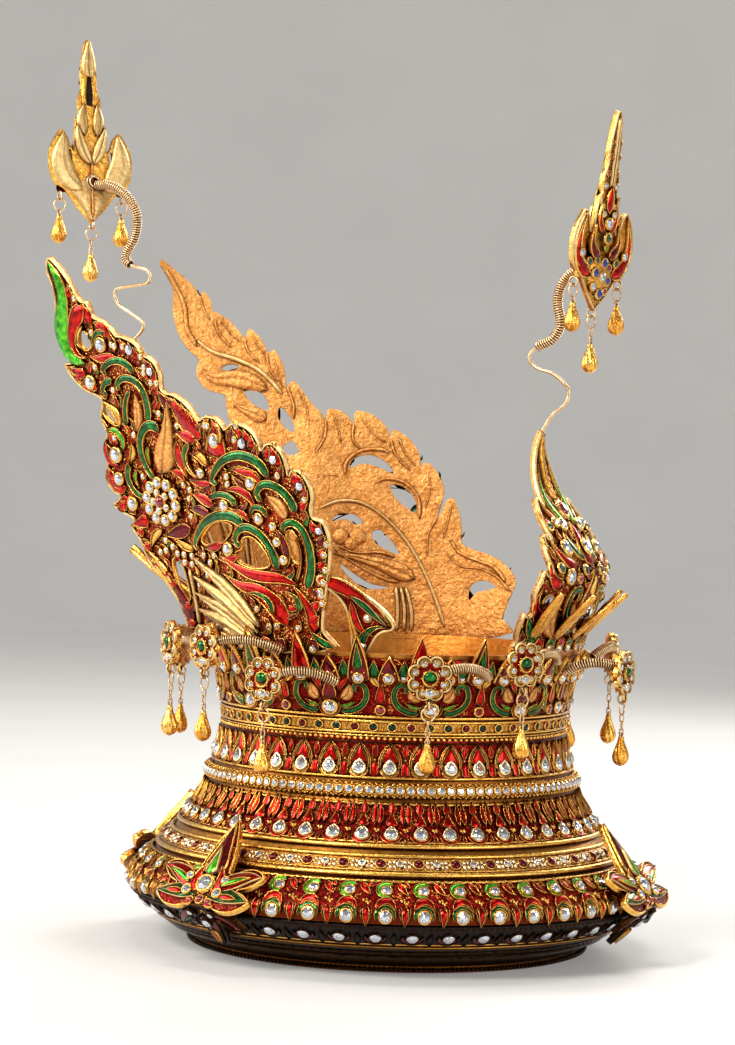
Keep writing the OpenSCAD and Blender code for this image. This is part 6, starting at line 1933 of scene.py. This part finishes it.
UP_HALF = [(0, -4), (6, -4), (13, -6.5), (22, -5.5), (28.8, 0.3), (23, 4.6), (18.5, 5.6), (25, 8), (31, 13.9), (27, 17.6), (20, 17.6), (13.5, 14.6),
           (9.8, 14.4), (8.6, 21), (6.4, 29), (3, 37.5), (0, 42)]
LOW_HALF = [(0, 3), (7, 2.6), (13, -1.6), (19, -8.5), (20.6, -14), (14, -13), (8.6, -9.4), (6.6, -11), (5.6, -17), (3, -23), (0, -27)]


def ridge_up():
    m = Motif()
    cell(m, [(0, 11), (0, 26), (0, 41.5)], 6.8, "flame", 22, 0.85, 0, 2.2, 1.0, 1.0, "gilt", "wine")
    cell(m, [(0, 10.5), (0, 16), (0, 26.5)], 3.3, "flame", 16, 0.8, 1.6, 2.2, 1.1, 0.8, "pale", "lime")
    gem(m, 0, 6.4, 3.7, 2.2, wall=1.3, beads=12)
    grains(m, 0, -0.5, 10, 3.4, 60, (0.45, 0.9), 0, "gilt", 41)
    for x, y, r in ((0, -1.6, 1.9), (-5.6, -2.6, 1.6), (5.6, -2.6, 1.6)):
        v, fs = dome_mesh(r, r * 0.8, 12, 4)
        m.part("ruby").add(v + np.array([x, y, 1.0]), fs)
        P = cup_mesh(r, 0.6, 1.2, 16) + np.array([x, y, 0.2])
        m.part("gilt").add(P.reshape(-1, 3), grid_faces(P.shape[0], P.shape[1], False, True), True, True)

    def half(h):
        cell(h, [(5.2, 1.5), (7.4, 7), (6.6, 13), (4.2, 17)], 2.4, "leaf", 16, 0.6, 0.3, 2.3, 1.1, 0.7, "gilt", "red")
        # upper side leaf: red, with a green leaf and a stone on it
        cell(h, [(5.4, 3.8), (9.8, 6.9), (16.3, 10.2), (23.5, 13.0), (30.6, 13.9)], 4.5, "leaf", 24, 0.75, 0, 2.2, 1.1, 0.9, "pale", "red")
        cell(h, [(9.5, 5.6), (14.4, 8.4), (20.4, 10.8), (25.4, 12.4)], 1.7, "leaf", 16, 0.5, 1.7, 1.7, 0.9, 0.5, "gilt", "lime")
        gem(h, 11.2, 9.2, 1.7, 2.0, wall=0.6)
        # lower side leaf: green, with a red one on it
        cell(h, [(4.2, 0.4), (9.4, 1.6), (15.6, 1.9), (22.4, 1.2), (28.3, 0.3)], 4.0, "leaf", 22, 0.75, -0.4, 2.2, 1.1, 0.9, "pale", "green")
        cell(h, [(11.5, 0.6), (16.5, 0.9), (22.5, 0.7)], 1.6, "leaf", 14, 0.45, 1.2, 1.7, 0.9, 0.5, "gilt", "red")
        gem(h, 9.6, 2.2, 2.0, 1.9, wall=0.7)
        cell(h, [(3, -3.2), (6.6, -4.4), (10.4, -4.4)], 1.1, "leaf", 10, 0.35, 0.4, 1.8, 0.9, 0.4, "gilt", "red")
    both(m, half)
    return m


def ridge_low():
    m = Motif()
    # Painted shade, partly patina: this ornament hangs below the ridge facing down, so its gold is the near-black umber
    # and its enamel mostly deep wine.
    cell(m, [(0, -4), (0, -14), (0, -26.6)], 5.8, "flame", 18, 0.75, 0, 1.8, 0.9, 0.8, "umber", "wine")
    cell(m, [(0, -13), (0, -18), (0, -24)], 1.9, "leaf", 12, 0.4, 1.3, 1.5, 0.8, 0.5, "gilt", "red")
    gem(m, 0, -8.4, 2.3, 1.6, wall=0.8, gold="umber")
    grains(m, 0, -1, 7, 3.0, 30, (0.45, 0.85), 0, "umber", 43)

    def half(h):
        cell(h, [(3.4, -2.4), (9.6, -4.6), (15, -8.4), (19.8, -13.4)], 3.7, "leaf", 18, 0.6, 0, 1.8, 0.9, 0.7, "umber", "wine")
        cell(h, [(6.0, -4.4), (11, -7.2), (15.6, -11)], 1.3, "leaf", 12, 0.4, 1.3, 1.4, 0.8, 0.4, "umber", "green")
        gem(h, 6.4, -1.6, 1.5, 1.4, wall=0.6, gold="umber")
    both(m, half)
    return m


up_m, low_m = ridge_up(), ridge_low()
up_outline = closed_curve(UP_HALF + [(-x, y) for x, y in reversed(UP_HALF[1:-1])], 3)
low_outline = closed_curve((LOW_HALF + [(-x, y) for x, y in reversed(LOW_HALF[1:-1])])[::-1], 3)


def tilted(a, r, z, tip):
    t, p = math.radians(a), math.radians(tip)
    er = np.array([-sin(t), -cos(t), 0])
    ex = np.array([cos(t), -sin(t), 0])
    n, ey = er * cos(p) + Z_ * sin(p), -er * sin(p) + Z_ * cos(p)
    return er * r + Z_ * z, ex, ey, n


def plain_back(scale, pts):
    m = Motif()
    for p in pts:
        rib_leaf(m, p, scale, "leaf", 12, 0.0, 0.7, "matte", 4)
    return m


for side_, a in (("front", 0), ("back", 180), ("left", 105), ("right", -105)):
    node = f"ridge_ornament_{side_}"
    for (r, z, tip), outline, mot, t1 in (((134.3, 32, 36), up_outline, up_m, 2.6), ((136.2, 29.6, -48), low_outline, low_m, 1.9)):
        O, EX, EY, N = tilted(a, r, z, tip)
        flat = Surf(lambda x, y, O=O, EX=EX, EY=EY: O + np.asarray(x, float)[..., None] * EX + np.asarray(y, float)[..., None] * EY, 1)
        # The lower, downward-tilted plate gets the near-black enamel ground and umber gold: painted shade.
        plate(node, outline, [], flat, "field" if tip > 0 else "dark", "matte", "gilt" if tip > 0 else "umber", t1, 0.0, 2.2, 0.8)
        m = Motif()
        edge_rim(m, outline, 0.5, 1.0, "gilt" if tip > 0 else "umber", t1 - 0.4, 0.45)
        wrap(m, node, flat)
        wrap(mot, node, flat, t1 - 0.1)
        lines = [[(0, 8), (0, 22), (0, 38)], [(5, 5), (16, 11), (28, 14)], [(-5, 5), (-16, 11), (-28, 14)]] if tip > 0 else [[(0, -3), (0, -12), (0, -24)]]
        back = plain_back(2.6, lines)
        put(back, node, O, -EX, EY, -N)
    O, EX, EY, N = tilted(a, 133.6, 31, 0)
    m = Motif()
    v, fs = dome_mesh(3.5, 2.3, 18, 5)
    m.part("ruby").add(v + np.array([0, 0, 2.4]), fs)
    prof = [(4.5, 0.0), (4.6, 1.6), (4.3, 2.6), (3.6, 3.3), (3.2, 2.4)]
    P = np.array([[(p * cos(t), p * sin(t), z_) for t in np.arange(24) * 2 * pi / 24] for p, z_ in prof])
    m.part("gilt").add(P.reshape(-1, 3), grid_faces(P.shape[0], P.shape[1], False, True), True, True)
    for k in range(14):
        bead(m, 4.7 * cos(2 * pi * k / 14), 4.7 * sin(2 * pi * k / 14), 0.6, 1.6)
    put(m, node, O, EX, EY, N)

# ---------------------------------------------------------------- pieces

MIN_AREA = 1e-7


def build(node, key):
    mesh = PARTS[(node, key)]
    v, fs = mesh.arrays()
    slot, mat = MATS[key]
    faces, smooth = [], []
    for g, sm in fs:
        faces += g.tolist()
        smooth.append(np.full(len(g), sm))
    me = bpy.data.meshes.new(f"{node}_{key}")
    me.from_pydata((v * MM).tolist(), [], faces)
    me.polygons.foreach_set("use_smooth", np.concatenate(smooth))
    me.materials.append(mat)
    me.update()
    ob = bpy.data.objects.new(f"{node}_{key}", me)
    bpy.context.scene.collection.objects.link(ob)
    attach(ob, "root")
    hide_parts(node)
    return ob


total = 0
for node, key in sorted(PARTS):
    ob = build(node, key)
    tris = sum(len(p.vertices) - 2 for p in ob.data.polygons)
    total += tris
    if tris > 60000:
        print("large piece", ob.name, tris)
print("pieces", len(PARTS), "triangles", total)

for name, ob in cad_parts.items():
    if not ob.hide_render:
        for k in range(len(ob.material_slots)):
            ob.material_slots[k].material = MATS["body"][1]
        if not ob.material_slots:
            ob.data.materials.append(MATS["body"][1])
        if name != "crown_body":
            print("plain CAD node shows:", name)

# ---------------------------------------------------------------- floor, light, camera

fm = Mat("studio_floor")
fm.put("Base Color", fm.ramp(fm.noise(6, 3), [(0.3, (0.56, 0.55, 0.535)), (0.7, (0.60, 0.59, 0.575))]))
fm.put("Roughness", 0.6)
fm.put("Emission Color", (0.80, 0.79, 0.77))
fm.put("Emission Strength", 0.21)
fm.put("Specular IOR Level", 0.3)
# a round floor that rises into a pale wall, open above
prof = [(0.0, 0.0), (1.2, 0.0), (2.6, 0.0)] + [(2.6 + 1.4 * sin(q), 1.4 - 1.4 * cos(q)) for q in np.linspace(0.12, pi / 2, 12)] + [(4.0, 2.4), (4.0, 4.2)]
segs = 96
verts = [(r * cos(2 * pi * i / segs), r * sin(2 * pi * i / segs), z - 0.0003) for r, z in prof[1:] for i in range(segs)] + [(0, 0, -0.0003)]
faces = [(j * segs + i, j * segs + (i + 1) % segs, (j + 1) * segs + (i + 1) % segs, (j + 1) * segs + i) for j in range(len(prof) - 2) for i in range(segs)]
faces += [(len(verts) - 1, i, (i + 1) % segs) for i in range(segs)]
me = bpy.data.meshes.new("floor")
me.from_pydata(verts, [], [f[::-1] for f in faces[:-segs]] + faces[-segs:])
me.polygons.foreach_set("use_smooth", [True] * len(me.polygons))
me.materials.append(fm.m)
floor = bpy.data.objects.new("floor", me)
bpy.context.scene.collection.objects.link(floor)

world = bpy.data.worlds.new("studio") if bpy.context.scene.world is None else bpy.context.scene.world
bpy.context.scene.world = world
world.use_nodes = True
bg = world.node_tree.nodes["Background"]
bg.inputs["Color"].default_value = (0.80, 0.79, 0.78, 1)
bg.inputs["Strength"].default_value = 0.27
bpy.context.scene.view_settings.view_transform = "Standard"


def area(name, loc, target, size, power, color=(1, 1, 1)):
    L = bpy.data.lights.new(name, "AREA")
    L.shape = "RECTANGLE"
    L.size, L.size_y = size
    L.energy = power
    L.color = color
    o = bpy.data.objects.new(name, L)
    o.location = loc
    o.rotation_euler = (Vector(target) - Vector(loc)).to_track_quat("-Z", "Y").to_euler()
    bpy.context.scene.collection.objects.link(o)
    return o


R = Vector((0.4226, -0.9063, 0))
F = Vector((0.9063, 0.4226, 0))
Z = Vector((0, 0, 1))
aim = (0, 0, 0.2)
area("key", tuple(-F * 1.1 - R * 0.9 + Z * 1.25), aim, (0.5, 0.5), 25, (1.0, 0.96, 0.90))
area("fill", tuple(-F * 1.2 + R * 1.3 + Z * 0.6), aim, (0.9, 0.9), 10, (0.97, 0.98, 1.0))
area("side", tuple(-R * 1.6 + F * 0.1 + Z * 0.75), aim, (1.0, 0.8), 16, (1.0, 0.98, 0.94))
area("top", tuple(Z * 1.7 + F * 0.2), aim, (0.8, 0.8), 14)
area("rim", tuple(F * 1.2 + R * 0.7 + Z * 0.9), aim, (0.8, 0.5), 14, (1.0, 0.97, 0.93))

pitch, roll = math.radians(1.21), math.radians(1.88)
fwd = F * cos(pitch) - Z * sin(pitch)
up0 = F * sin(pitch) + Z * cos(pitch)
right = R * cos(roll) + up0 * sin(roll)
up = -R * sin(roll) + up0 * cos(roll)
cam = bpy.data.cameras.new("camera")
cam.sensor_width = 36
cam.sensor_fit = "AUTO"
cam.lens = 111.0
cam.clip_start, cam.clip_end = 0.05, 50
camera = bpy.data.objects.new("camera", cam)
M = Matrix((right, up, -fwd)).transposed().to_4x4()
M.translation = R * -0.0163 - F * 1.601 + Z * 0.2421
camera.matrix_world = M
bpy.context.scene.collection.objects.link(camera)
bpy.context.scene.camera = camera

bpy.context.view_layer.update()
